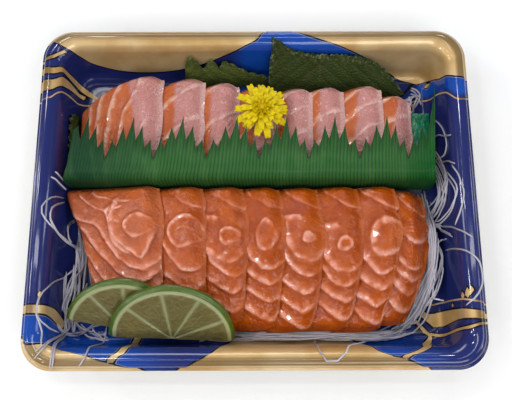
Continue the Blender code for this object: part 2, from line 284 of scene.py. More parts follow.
class Unevenness:
    """Smooth random height over a plane, from -1 to 1, with lumps one unit apart."""

    def __init__(self, seed):
        self.heights = np.random.RandomState(seed).uniform(-1, 1, (LUMPS, LUMPS))

    def __call__(self, x, y):
        column = np.floor(x).astype(int)
        row = np.floor(y).astype(int)
        right = blend(x - column, 0, 1)
        up = blend(y - row, 0, 1)
        low, high = (self.heights[column % LUMPS, (row + step) % LUMPS] * (1 - right)
                     + self.heights[(column + 1) % LUMPS, (row + step) % LUMPS] * right
                     for step in (0, 1))
        return low * (1 - up) + high * up


def smooth_line(points, steps=4):
    """Points along a smooth curve through the given ones."""
    points = np.array(points, float)
    padded = np.concatenate([2 * points[:1] - points[1:2], points, 2 * points[-1:] - points[-2:-1]])
    share = np.linspace(0, 1, steps, endpoint=False)[:, None]
    parts = [0.5 * (2 * start + (end - before) * share
                    + (2 * before - 5 * start + 4 * end - after) * share ** 2
                    + (3 * start - before - 3 * end + after) * share ** 3)
             for before, start, end, after in zip(padded, padded[1:], padded[2:], padded[3:])]
    return np.concatenate(parts + [points[-1:]])


def nearest(x, y, line):
    """Distance to a line of points, the side that it is on and the share of the line passed."""
    best = np.full(x.shape, np.inf)
    side = np.ones(x.shape)
    passed = np.zeros(x.shape)
    for index, ((x0, y0), (x1, y1)) in enumerate(zip(line, line[1:])):
        dx, dy = x1 - x0, y1 - y0
        share = np.clip(((x - x0) * dx + (y - y0) * dy) / (dx * dx + dy * dy + 1e-12), 0, 1)
        gap = np.hypot(x - x0 - share * dx, y - y0 - share * dy)
        closer = gap < best
        best = np.where(closer, gap, best)
        side = np.where(closer, np.sign(dx * (y - y0) - dy * (x - x0)), side)
        passed = np.where(closer, (index + share) / (len(line) - 1), passed)
    return best, side, passed


def depth_inside(x, y, outline):
    """Distance inside a closed outline, negative outside it."""
    outline = np.concatenate([outline, outline[:1]])
    inside = np.zeros(x.shape, bool)
    for (x0, y0), (x1, y1) in zip(outline, outline[1:]):
        if y0 != y1:
            inside ^= ((y0 > y) != (y1 > y)) & (x < (x1 - x0) * (y - y0) / (y1 - y0) + x0)
    return nearest(x, y, outline)[0] * np.where(inside, 1, -1)


# ---------------------------------------------------------------- tray

TRAY_LENGTH, TRAY_WIDTH, TRAY_HEIGHT = 200.0, 158.0, 28.0
SHEET = 0.7
LIP_WIDTH, LIP_DROP, OUTER_RADIUS = 1.2, 3.6, 2.6
INNER_RADIUS, WALL_ANGLE, FLOOR_FILLET = 6.05, math.radians(83), 5.0
CREST_RADIUS, CREST_ANGLE = 2.6, math.radians(75)     # the plainer section the print is laid out on
CORNER_RADIUS, CORNER_TIGHTENING, CORNER_LEAST = 14.0, 0.55, 5.0
CREST_TOP_ROUND = 6.28                                # distance over the rim to the crest's top
LIP_RUN = 0.6                                         # inset of the point half way over the lip
ROUND_STEPS, PLAIN_ROUND_STEPS = 6, 24                # points on a round of each section
TRAY_COLUMNS = 1120                                   # cells round the rim
FLOOR_INSETS = (3, 9)                                 # rows of cells beyond the floor's fillet
FLOOR_HOLE_BELOW = 1.5                                # open edges lower than this are the floor's

# The print is laid out by the distance round the rim, from the back left corner over the back,
# right, front and left sides, and the distance over the rim from its lip.
ROUND = 652.0
SIDE_ENDS = (184, 326, 510)
SIDE_MIDDLES = np.array([92.0, 255.0, 418.0, 581.0])
SIDE_HALVES = np.array([92.0, 71.0, 92.0, 71.0])
# How far the print was drawn in on each side for each unit of height, as it was stretched.
SIDE_DRAW = np.array([0.53, 0.31, -0.03, 0.31])

# Gold fields that hang from the rim, as outlines.
GOLD_FIELDS = [
    [(-4, -3), (-2, 0), (0, 6.8), (2.5, 12.5), (5.8, 18.1), (11, 23.1), (16, 26.5), (26.5, 30.4),
     (40, 31.5), (55, 29.5), (68, 24.6), (81.5, 16.6), (88, 11.7), (94, 7.2), (98, 0), (100, -3)],
    [(108, -3), (110, 0), (114, 4.7), (128, 9.9), (138.5, 15.7), (146.5, 21.3), (155, 28.7),
     (160.5, 33.1), (166, 36.6), (175, 38), (185, 36.5), (193, 29), (197, 22.4), (200.5, 8.9),
     (202, 0), (203, -3)],
    [(342, -3), (344, 0.5), (349.7, 4.6), (354, 6.3), (357, 7.6), (360.6, 8.9), (366, 17),
     (370, 31.2), (375, 35.4), (381, 37), (400, 38), (420.5, 37), (425, 35.6), (430.5, 31.9),
     (437.5, 10.4), (444, 5.2), (451, 0), (454, -3)],
    [(462, -3), (465, 0), (479, 5.3), (485, 6.9), (492, 11.2), (500.8, 19.4), (508.8, 16.4),
     (512.5, 8.3), (516, 0), (517, -3)],
]
# Gold bands over the rim, as two edges each.
GOLD_BANDS = [
    ([(641, -2), (640, 8), (641.5, 14.5), (642.5, 23), (644, 32.7), (642, 40)],
     [(637.5, -2), (637.2, 8.3), (639.5, 16.8), (639.5, 25.4), (639.2, 33), (636, 40)]),
    ([(634, -2), (634, 8.6), (637.2, 17.2), (638, 25.8), (637, 34.2), (636.5, 37)],
     [(628.5, -2), (628.5, 6.3), (631.5, 13.6), (634.2, 22.8), (635.5, 31.6), (634.5, 36.2)]),
    ([(643.9, -2), (645.2, 5.6), (648.2, 9.2), (656, 13.4)],
     [(642.9, -2), (644.1, 6), (647, 10.3), (655, 15.2)]),
    ([(529.5, -2), (529.5, 20.7), (527.5, 28), (524, 34.2)],
     [(526, -2), (526, 17), (523.5, 25.4), (521, 31.7)]),
    ([(480, 6.1), (475.8, 16.6), (474, 35), (470, 40)],
     [(477.5, 5.6), (473, 14.4), (471, 35), (467, 40)]),
    ([(356.3, 7.6), (352.5, 12.5), (349, 18), (345.5, 25), (342, 31.5), (338.5, 36), (334.4, 38)],
     [(354.2, 6.9), (350, 11), (346.5, 16), (343, 23), (339.8, 30), (335.5, 35), (330.4, 36.8)]),
    ([(350.6, 40.9), (344.9, 40.6), (339.8, 39.6), (330.3, 38), (323.7, 35.3), (320.3, 32),
      (316.9, 24.1), (315.7, 14.5), (315.1, 9.2), (314.4, 5.9), (313.9, -2)],
     [(350.7, 39.9), (345.1, 39.6), (340, 38.6), (332.1, 37), (325.7, 34), (322.4, 30.9),
      (318.7, 23.8), (317.2, 14.7), (316.1, 9.2), (315.4, 5.9), (314.9, -2)]),
    ([(314.9, 43), (309.8, 41.4), (308.3, 38.5), (307.4, 34), (307.3, 30), (307.9, 20),
      (308.8, 11.2), (309.2, 7.3), (310.1, 2.6), (311, -2)],
     [(339, 41.4), (328.6, 40.3), (319.2, 38.3), (314.5, 35.3), (312.9, 28.7), (312.1, 21),
      (312.3, 14), (312.4, 8.9), (312.8, 5.8), (312.6, -2)]),
]
GOLD_FLAKES = [(301.9, 13, 2.3), (300.5, 9.8, 1.8), (302.6, 17, 1.6), (305.6, 26.1, 1.1),
               (534, 11.6, 1.9), (193.5, 34, 2.2)]
THIN_LINES = [
    [(623, -3), (624.5, 6.6), (628, 13), (631, 23.3), (632, 42)],
    [(210, -3), (212.5, 7.5), (206.5, 18.8), (203.2, 28), (202, 42)],
    [(307, -3), (306.2, 3), (305.2, 8), (303.8, 19.5), (303.2, 29.4), (303.5, 35.6), (305, 42)],
]
# Share of cobalt in the blue, by the distance round the rim.
COBALT = [(0, 0), (80, 0), (88, 1), (146, 1), (158, 0.05), (187, 0), (190.5, 1), (203, 1), (205, 0),
          (320, 0), (334, 0.06), (344, 0.35), (350, 0.65), (358, 1), (395, 1), (425, 0.3),
          (448, 0.0), (456, 0.15), (474, 1), (525, 1), (527, 0), (652, 0)]
COBALT_END, COBALT_EDGE = 206, THIN_LINES[1]          # there the cobalt ends along a thin line
PRINT_REACH = 6.0                                     # distances to the print stop at this


def section(outer, inner, angle, steps):
    """Inset and height over the rim: lip, outer and inner rounds, wall and floor fillet."""
    top = LIP_WIDTH + outer
    points = [(inset, TRAY_HEIGHT - LIP_DROP) for inset in (0, LIP_RUN, LIP_WIDTH)]
    for turn in np.linspace(0, math.pi / 2, steps):
        points.append((top - outer * math.cos(turn), TRAY_HEIGHT - outer + outer * math.sin(turn)))
    for turn in np.linspace(0, angle, 2 * steps)[1:]:
        points.append((top + inner * math.sin(turn), TRAY_HEIGHT - inner * (1 - math.cos(turn))))
    wall_top, wall_height = points[-1]
    foot = SHEET + FLOOR_FILLET * (1 - math.cos(angle))
    run = (wall_height - foot) / math.tan(angle)
    for share in np.linspace(0, 1, 3 * steps)[1:]:
        points.append((wall_top + share * run, wall_height + share * (foot - wall_height)))
    end = wall_top + run + FLOOR_FILLET * math.sin(angle)
    for turn in np.linspace(angle, 0, steps)[1:]:
        points.append((end - FLOOR_FILLET * math.sin(turn),
                       SHEET + FLOOR_FILLET * (1 - math.cos(turn))))
    return np.array(points)


TRAY_SECTION = section(OUTER_RADIUS, INNER_RADIUS, WALL_ANGLE, ROUND_STEPS)


def walked(points):
    """Distance walked along a line of points."""
    return np.concatenate([[0], np.cumsum(np.hypot(*np.diff(points, axis=0).T))])


def tray_plan(around, inset):
    """Point of the tray's plan at a distance round the rim and an inset from it, and its turn."""
    side = np.searchsorted(SIDE_ENDS, around, side="right")
    radius = np.maximum(CORNER_RADIUS - CORNER_TIGHTENING * inset, CORNER_LEAST)
    lengthways = side % 2 == 0
    reach = np.where(lengthways, TRAY_LENGTH, TRAY_WIDTH) / 2 - inset - radius
    other = np.where(lengthways, TRAY_WIDTH, TRAY_LENGTH) / 2 - inset - radius
    along = around - SIDE_MIDDLES[side]
    turn = math.pi / 4 * np.clip((np.abs(along) - reach) / (SIDE_HALVES[side] - reach), 0, 1)
    p = np.sign(along) * (np.minimum(np.abs(along), reach) + radius * np.sin(turn))
    q = other + radius * np.cos(turn)
    x = np.choose(side, [p, q, -p, -q])
    y = np.choose(side, [q, -p, -q, p])
    return x, y, side, turn


def rim_print(around, over):
    """Gold depth, signed distance to the thin lines, how near they are and share of cobalt."""
    gold = np.full(around.shape, -PRINT_REACH)
    outlines = [smooth_line(field) for field in GOLD_FIELDS]
    outlines += [np.concatenate([smooth_line(left, 3), smooth_line(right, 3)[::-1]])
                 for left, right in GOLD_BANDS]
    outlines += [np.array([(u - 1.2 * size, v), (u - 0.1, v + 0.8 * size), (u + size, v + 0.3),
                           (u + 0.2, v - size)]) for u, v, size in GOLD_FLAKES]
    for outline in outlines:
        for shift in (-ROUND, 0):
            shifted = around + shift
            low, high = outline[:, 0].min() - PRINT_REACH, outline[:, 0].max() + PRINT_REACH
            near = (shifted > low) & (shifted < high)
            if near.any():
                depth = depth_inside(shifted[near], over[near], outline)
                gold[near] = np.maximum(gold[near], depth)
    line = np.full(around.shape, PRINT_REACH)
    for points in THIN_LINES:
        gap, side, _ = nearest(around, over, smooth_line(points))
        closer = gap < np.abs(line)
        line = np.where(closer, gap * side, line)
    edge = np.interp(over, *np.array(COBALT_EDGE).T[::-1])
    shifted = around + (COBALT_END - edge) * (np.abs(around - COBALT_END) < 20)
    cobalt = np.interp(shifted, *np.array(COBALT).T)
    return {"gold": np.maximum(gold, -PRINT_REACH), "line": line,
            "near_line": (np.abs(line) < 4).astype(float), "cobalt": cobalt}


def film_finish(looks):
    """Printed film: gold fields and thin gold lines on navy and cobalt, under a hard gloss."""
    film = Finish("printed_film", Coat_Weight=0.7, Coat_Roughness=0.05, Specular_IOR_Level=0.15)
    gold, cobalt, over = film.field("gold"), film.field("cobalt"), film.field("over")
    on_gold = film.step(gold, -0.06, 0.06)
    thin = film.step(abs(film.field("line")), 0.42, 0.28) * film.field("near_line")
    metal = film.maths("MAXIMUM", on_gold, thin)
    outline = film.step(gold, -0.85, -0.7) * (1 - on_gold)
    pale = (film.step(gold, -1.15, -1.02) * film.step(gold, -0.82, -0.9)
            * film.step(cobalt, 0.5, 0.7))
    cloud = film.noise(22, 3)
    blue = film.coats(looks.navy, (cobalt, looks.cobalt),
                      (film.step(cloud, 0.35, 0.75) * 0.25, screen(20, 24, 66)))
    # Painted shade: the gold is darkened over the rim's outer roll, which faces away from the
    # lights.
    roll_shade = film.step(over, 3.4, 4.8) * film.step(over, 9.0, 6.8)
    gilt = film.coats(looks.gold, (film.step(cloud, 0.3, 0.7), screen(214, 186, 138)),
                      (roll_shade * 0.75, screen(96, 74, 40)))
    color = film.coats(blue, (outline, screen(10, 10, 26)), (pale, screen(130, 132, 150)),
                       (metal, gilt))
    dents = film.noise(7, 2) * 0.7 + film.noise(1.2, 2) * 0.06
    film.paint(Base_Color=color, Metallic=metal * 0.34, Roughness=metal * 0.26 + 0.16,
               Coat_Weight=film.step(over, 21, 13) * 0.64 + 0.06,
               Normal=film.bump(dents, 0.22))
    return film


def foam_finish():
    """Cream foam sheet under the film."""
    foam = Finish("foam_sheet", Subsurface_Weight=0.1)
    beads = foam.cells(1 / (1.4 * MM))
    color = foam.mix(foam.noise(9), screen(226, 220, 202), screen(208, 200, 180))
    foam.paint(Base_Color=color, Roughness=foam.noise(3) * 0.2 + 0.5,
               Normal=foam.bump(foam.step(beads, 0, 0.25), 0.08))
    return foam


def make_tray(looks):
    """Tray as one sheet of cells, joined at its seam, filled at its floor and given its wall."""
    floor = [TRAY_SECTION[-1] + (inset, 0) for inset in FLOOR_INSETS]
    profile = np.concatenate([TRAY_SECTION, floor])
    plain = section(CREST_RADIUS, CREST_RADIUS, CREST_ANGLE, PLAIN_ROUND_STEPS)
    plain_over = walked(plain)
    mesh, a, b, _ = release(grid(TRAY_COLUMNS, len(profile) - 1))
    around = a * ROUND
    row = np.rint(b * (len(profile) - 1)).astype(int)
    inset, height = profile[row].T
    x, y, side, turn = tray_plan(around * (a < 1), inset)

    # Where each point is over the rim, on the plainer section.
    beside = (side + np.where(around > SIDE_MIDDLES[side], 1, -1)) % 4
    share = turn / (math.pi / 2)
    draw = SIDE_DRAW[side] * (1 - share) + SIDE_DRAW[beside] * share
    crest = plain_over >= CREST_TOP_ROUND
    over = np.interp(inset, plain[~crest][:, 0], plain_over[~crest])
    inner = inset > LIP_WIDTH + OUTER_RADIUS
    for amount in np.unique(np.round(draw, 2)):
        chosen = inner & (np.round(draw, 2) == amount)
        drawn = plain[crest][:, 0] - amount * plain[crest][:, 1]
        over[chosen] = np.interp(inset[chosen] - amount * height[chosen], drawn, plain_over[crest])
    over = np.where(inner, over, walked(profile)[row])

    dents = Unevenness(3)
    depth = 0.16 * dents(around / 16.3, over / 11) * blend(over, 5, 9) * blend(over, 36, 31)
    centre = np.hypot(x, y)
    places = x * (1 - depth / centre), y * (1 - depth / centre), height
    bm = place_points(mesh, places, {**rim_print(around, over), "over": over})
    bmesh.ops.remove_doubles(bm, verts=bm.verts, dist=WELD)
    low = [edge for edge in bm.edges
           if edge.is_boundary and edge.verts[0].co.z < FLOOR_HOLE_BELOW * MM]
    bmesh.ops.contextual_create(bm, geom=low)
    bmesh.ops.recalc_face_normals(bm, faces=bm.faces)
    if max(bm.faces, key=lambda face: len(face.verts)).normal.z < 0:
        bmesh.ops.reverse_faces(bm, faces=bm.faces)
    into_mesh(bm, mesh)
    piece = add_finished("tray_film", mesh, [film_finish(looks), foam_finish()],
                         "tray")
    shell = piece.modifiers.new("Wall", "SOLIDIFY")
    shell.thickness = SHEET * MM
    shell.offset = -1
    shell.use_even_offset = True
    shell.material_offset = 1
    shell.material_offset_rim = 1


# ---------------------------------------------------------------- fish

LEAN = math.radians(22)
BED_TOP, STACK_TOP, LAST_THICKNESS, GAP = 2.0, 23.6, 6.4, 0.35
CELL = 0.48
SLAB_LAYERS = 5
RIM_LEVEL, RIM_SINK = 0.15, 1.2                        # of the thickness, and at the back end
SHOWN_WIDTH, HIDDEN_COLUMNS = 24.0, 6                  # of a slice that lies under the next
CELL_GROWTH = 1.12                                     # makes cells finer towards the right rim
RIM_STRETCH = 0.8                                      # of the marks that run over a rim
FIRST_SLICE_FLARE, RIGHT_GATHER = 5.4, 3.4             # of the front row's left and right ends
RIM_BULGES = (1.2, 0.5, 0.8, 0.9)                      # right, left, back and front

# A row of slices: width, right rims and the ends of each slice to the front and back.
Row = namedtuple("Row", "width rights starts ends")
FRONT = Row(42.5, (-45.1, -25.4, -6.0, 10.8, 28.1, 46.4, 63.6, 78.0),
            (-55.0, -55.5, -57.8, -60.4, -61.2, -60.6, -61.4, -58.4),
            (4.4, 3.9, 3.5, 3.2, 3.1, 3.4, 3.3, 2.0))
BACK = Row(41.6, (-47.4, -26.6, -10.4, 7.3, 24.9, 39.5, 57.8, 72.2),
           (9.4, 8.6, 9.2, 8.4, 9.0, 8.5, 9.3, 9.6),
           (60.2, 58.2, 55.8, 53.6, 52.2, 53.0, 53.4, 49.4))

# Muscle pattern of the front slices: ring as centre and radii, down the slope and towards the
# front; outer crescent the same way; and the lowest points of the lines before them.
Muscle = namedtuple("Muscle", "ring crescent lines")
MUSCLES = (
    Muscle((8.5, 18.9, 6.8, 5.2), None, ()),
    Muscle((7.3, 21.5, 7.8, 7.3), None, (40.1, 48.5, 55.5)),
    Muscle((6.3, 23.8, 4.6, 3.8), (5, 15.6, 16, 19.8), (42.2, 49.3, 57)),
    Muscle((6.2, 23, 4.2, 7.2), None, (38.7, 45.5, 52.9, 60.4)),
    Muscle((4.5, 24.1, 2.4, 2.2), (3, 15.8, 13, 19), (41.7, 49.3, 57, 64)),
    Muscle((6.2, 27, 3.3, 3.6), (3, 20, 14.8, 19.9), (46.4, 53, 60.4)),
    Muscle((4.4, 23.5, 7.2, 8.6), None, (40.7, 47.9, 55.2, 62)),
    Muscle(None, None, (24.5, 36.5, 42, 48, 55.5)),
)
# Line and pale facet at the back end of the other front slices, and the second one's core.
BACK_LINE = [(17.5, -1.5), (14.6, 2.2), (11, 5.6), (7, 8.2), (3, 10), (0, 10.6)]
BACK_FACET = [(15.5, -0.5), (13.5, 2.2), (10.5, 4.6), (8.5, 3.5), (10, 0.5), (12, -0.8)]
SECOND_SLICE_CORE = [(9.5, 21), (7, 19.6), (4.5, 20.6)]
PAINTED_SHEEN = (0.35, 0.15, 0.1, 0, 0, 0, 0, 0)           # how far a painted sheen pales each front slice's flesh
FIRST_SLICE_LINES = (
    [(2, 24.9), (5, 33.3), (8.1, 33.4), (16.6, 27.5), (21.1, 22), (24.8, 13.2), (24, 10.5)],
    [(-1, 34), (3.8, 38.8), (7, 39.7), (16.3, 35.8), (25.2, 24.4), (28.3, 19), (34, 15.7),
     (38.6, 13.8), (42.8, 10.1), (49, 3.6)],
    [(-1, 38), (4, 43.5), (8, 44.6), (12.5, 43.3), (16.8, 41.2), (25.3, 34.2), (33.4, 23.8),
     (37, 19)],
    [(-1, 44), (6, 52.5), (12, 52.5), (22, 47), (28.3, 41.9), (35, 32.2), (38, 27)],
    [(8, 60), (20, 55), (30, 47), (37, 37)],
    [(13.8, 7.8), (20, 7.2), (23.6, 6.1), (27.5, 4.8), (29.9, 2.6), (31.2, -0.5)],
    [(17.4, 10.6), (21.7, 11.6), (25.5, 12), (30.5, 9.3), (34.7, 5), (36.7, 0.9)],
)


def past(value, start, run):
    """Square of how far value is beyond start, in runs; a negative run looks the other way."""
    return np.maximum(0, (value - start) / run) ** 2


def front_sag(x, y):
    """How far the front row sinks to the bed, from 0 to 1."""
    share = 0.80 - 0.35 * blend(x, -40, -14) - 0.17 * blend(x, -10, 12)
    return share * past(y, -36, -20) + 0.10 * past(y, -4, 8)


def back_sag(y):
    return 0.16 * past(y, 17, -9) + 0.10 * past(y, 44, 14)


def droop(a, fall, start):
    return fall * np.maximum(0, (a - start) / (1 - start)) ** 1.6


def thickness_of(row, index):
    if index + 1 < len(row.rights):
        return (row.rights[index + 1] - row.rights[index]) * math.sin(LEAN) - GAP
    return LAST_THICKNESS


class Slab:
    """Fine grid of one slice: shares across, along and through it, and distances down it."""

    def __init__(self, row, index):
        self.row, self.index = row, index
        self.length = row.ends[index] - row.starts[index]
        shown = row.width if index == 0 else SHOWN_WIDTH
        columns = round(shown / CELL)
        near = shown * (1 - np.linspace(0, 1, columns + 1)) ** CELL_GROWTH
        hidden = np.linspace(row.width, shown, HIDDEN_COLUMNS + 1)[:-1] if index else np.empty(0)
        lines = np.concatenate([hidden, near])
        self.mesh, a, self.b, self.c = lattice(len(lines) - 1, round(self.length / CELL),
                                               SLAB_LAYERS)
        self.down = lines[np.rint(a * (len(lines) - 1)).astype(int)]
        self.a = 1 - self.down / row.width
        self.thickness = thickness_of(row, index)
        self.bulge = 1 - (2 * self.c - 1) ** 2            # only rim points lie part way through
        self.right_rim = a > 1 - EDGE
        self.left_rim = a < EDGE
        self.front_rim = self.b < EDGE
        self.back_rim = self.b > 1 - EDGE
        self.through = (1 - self.c) * self.thickness * RIM_STRETCH
        self.shown = 1.0 if index == 0 else blend(self.down, 22, 18)

    def rounding(self, along):
        """Share of the thickness left near the edges."""
        share = 1.0
        for gap, radius, loss in ((self.down, 7.5, 0.86), (self.row.width - self.down, 3.0, 0.6),
                                  (along, 3.2, 0.6), (self.length - along, 3.4, 0.65)):
            share = share * (1 - loss * np.clip(1 - gap / radius, 0, 1) ** 2.2)
        return share

    def place(self, slope, y, share, relief):
        """Point on the leaning slab, from its distance up the slope and share of thickness."""
        right, left, back, front = RIM_BULGES
        slope = slope + self.bulge * (right * self.right_rim - left * self.left_rim)
        y = y + self.bulge * (back * self.back_rim - front * self.front_rim)
        lift = (self.c * share - RIM_LEVEL * share - (1 - RIM_LEVEL)) * self.thickness
        lift = lift + relief * self.c - RIM_SINK * bell(self.down, 3) * blend(self.b, 0.25, 0.55)
        x = self.row.rights[self.index] + slope * math.cos(LEAN) - lift * math.sin(LEAN)
        z = STACK_TOP + slope * math.sin(LEAN) + lift * math.cos(LEAN)
        return x, y, z


FADE_FROM = 0.55                      # share of a fading line that keeps its strength


class Marks:
    """Fat lines on a slice and the creases behind them, as strengths from 0 to 1."""

    def __init__(self, s, t, seed):
        wander = Unevenness(seed)
        self.s = s + 0.55 * wander(s / 5, t / 5)
        self.t = t + 0.55 * wander(s / 5 + 20, t / 5 + 9)
        self.fade = 0.76 + 0.5 * wander(s / 2.5, t / 2.5)
        self.fat = np.zeros(s.shape)
        self.swell = np.zeros(s.shape)
        self.crease = np.zeros(s.shape)

    def draw(self, line, width=0.75, strength=1.0, fade=0.0, glow=0.6, crease=1.0):
        """Line of fat: it fades slowly into the flesh inside it and drops to a crease outside."""
        gap, side, passed = nearest(self.s, self.t, line)
        inside = side > 0
        level = strength * (1 - fade * blend(passed, FADE_FROM, 1.0))
        flank = np.maximum(bell(gap, 1.6 * width), glow * np.exp(-gap / 2.3))
        band = np.where(inside, flank, bell(gap, 0.6 * width))
        self.fat = np.maximum(self.fat, level * self.fade * band)
        raised = level * (0.4 + 0.6 * crease)
        fall = np.exp(-np.where(inside, gap / 3.0, (gap / 0.7) ** 2))
        self.swell = np.maximum(self.swell, raised * fall)
        dip = level * crease * bell(gap - 1.6 * width, 0.8) * ~inside
        self.crease = np.maximum(self.crease, dip)

    def patch(self, outline, soft=0.8, strength=0.7):
        """A pale cut facet."""
        depth = depth_inside(self.s, self.t, np.array(outline, float))
        self.fat = np.maximum(self.fat, strength * self.fade * blend(depth, -soft / 2, soft))


RING_STEPS = 22                       # points along a ring of fat


def ring_line(centre_s, centre_t, radius_s, radius_t, start=0, end=360):
    """Part of an ellipse; 0 degrees is down the slope and 90 towards the front."""
    turns = np.radians(np.linspace(start, end, RING_STEPS))
    return np.stack([centre_s + radius_s * np.cos(turns),
                     centre_t + radius_t * np.sin(turns)], axis=1)


def mark_front(marks, index):
    """Draws a front slice's muscle: rings of fat about its core and slanting lines before it."""
    ring, crescent, lines = MUSCLES[index]
    if index == 0:
        for points in FIRST_SLICE_LINES[:5]:
            marks.draw(smooth_line(points[::-1]), 0.9, glow=0.7)
        for points in FIRST_SLICE_LINES[5:]:
            marks.draw(smooth_line(points[::-1]), 0.65, 0.75, glow=0.4)
        marks.draw(ring_line(6.5, 16.5, 16.5, 17.5, -35, 60), 1.2, 0.9, glow=0.4)
    else:
        marks.draw(smooth_line(BACK_LINE), 0.8, 0.55, glow=0.45)
        marks.patch(BACK_FACET, 1.6, 0.5)
    if ring:
        width = 1.3 if index == 6 else 0.8
        marks.draw(ring_line(*ring, -110, 115), 1.2 * width, 0.85, glow=0.4, crease=0.5)
        marks.draw(ring_line(*ring, 100, 260), width, 0.5, glow=0.3, crease=0.3)
        if index == 4:
            marks.patch(ring_line(*ring)[:-1], 1.0, 0.6)
        if index == 1:
            marks.draw(smooth_line(SECOND_SLICE_CORE), 0.6, 0.7, glow=0.3)
    if crescent:
        arc = ring_line(*crescent, 2, 90)
        lead = [(arc[0][0] - 7.5, arc[0][1] - 2.5), (arc[0][0] - 4.5, arc[0][1] - 2.9),
                (arc[0][0] - 1.4, arc[0][1] - 2.6)]
        tail = [(arc[-1][0] - 2.2, arc[-1][1] - 1.4), (arc[-1][0] - 4.4, arc[-1][1] - 5)]
        marks.draw(np.concatenate([lead, arc, tail]), 1.25, fade=0.5, glow=0.65)
    for order, lowest in enumerate(lines):
        vertex = 3.4 + 0.5 * math.sin(3 * index + order)
        if order == 0:
            left = [(vertex + d, lowest - 0.062 * d ** 2) for d in (22, 18, 14, 10, 6, 3, 0)]
        else:
            slope = 0.60 + 0.03 * math.cos(2 * index + order)
            left = [(vertex + d, lowest - slope * (math.hypot(d, 2) - 2))
                    for d in (24, 18, 12, 8, 4, 2, 0)]
        hook = [(vertex - 1.8, lowest - 1.1), (vertex - 4.0, lowest - 4.0),
                (vertex - 7.5, lowest - 9)]
        marks.draw(smooth_line(left + hook, 3), 1.15, 0.95, fade=0.75, glow=0.7)


def fish_finish(name, flesh, deep_and_crease_shade, fat, skin=None):
    """Wet cut fish: flesh that pales towards its fat lines, darker creases and a silver side."""
    fish = Finish(name, Coat_Roughness=0.05, Specular_IOR_Level=0.3, Subsurface_Weight=0.15,
                  Subsurface_Radius=(1.0, 0.35, 0.15), Subsurface_Scale=0.002)
    lines, crease = fish.field("fat"), fish.field("crease")
    cloud = fish.noise(8, 4)
    grain = fish.noise(0.8, 3)
    # Painted shade: the creases take the deep colour. Painted light: the pale rims carried in the
    # fat strengths and the pale sheen take the fat colour.
    color = fish.coats(deep_and_crease_shade, (fish.step(cloud, 0.3, 0.7), flesh),
                       (fish.step(lines, 0.02, 0.35), flesh), (crease * 0.9, deep_and_crease_shade),
                       (fish.step(grain, 0.45, 0.8) * 0.06, fat), (fish.field("pale") * 0.3, fat),
                       (fish.step(lines, 0.08, 0.95), fat))
    wet = fish.step(fish.noise(9, 2), 0.48, 0.66)
    height = (fish.noise(2.6, 2) * 0.8 + fish.noise(1.3, 1) * (wet * 0.9 + 0.4)
              + lines * fish.noise(1.0, 1) * 2.0)
    if skin:
        side = fish.field("skin")
        # Painted glints: near-white specks scattered over the silver side.
        painted_skin_glints = (fish.step(fish.noise(0.6, 2), 0.55, 0.72)
                   * fish.step(fish.noise(7, 2), 0.45, 0.65))
        silver = fish.coats(skin, (fish.noise(1.6, 3, stretch=(0.3, 1, 1)), screen(172, 112, 106)),
                            (painted_skin_glints * 0.6, screen(232, 214, 214)),
                            (fish.step(lines, 0.2, 1.0) * 0.8, screen(222, 176, 168)))
        color = fish.mix(side, color, silver)
        height = height + side * fish.noise(0.9, 1) * 0.6
    gloss = fish.step(lines, 0.1, 0.6) * fish.step(fish.noise(5, 2), 0.38, 0.58)
    fish.paint(Base_Color=color, Roughness=grain * 0.07 + 0.04, Coat_Weight=gloss * 0.88 + 0.12,
               Normal=fish.bump(height, 0.6))
    return fish


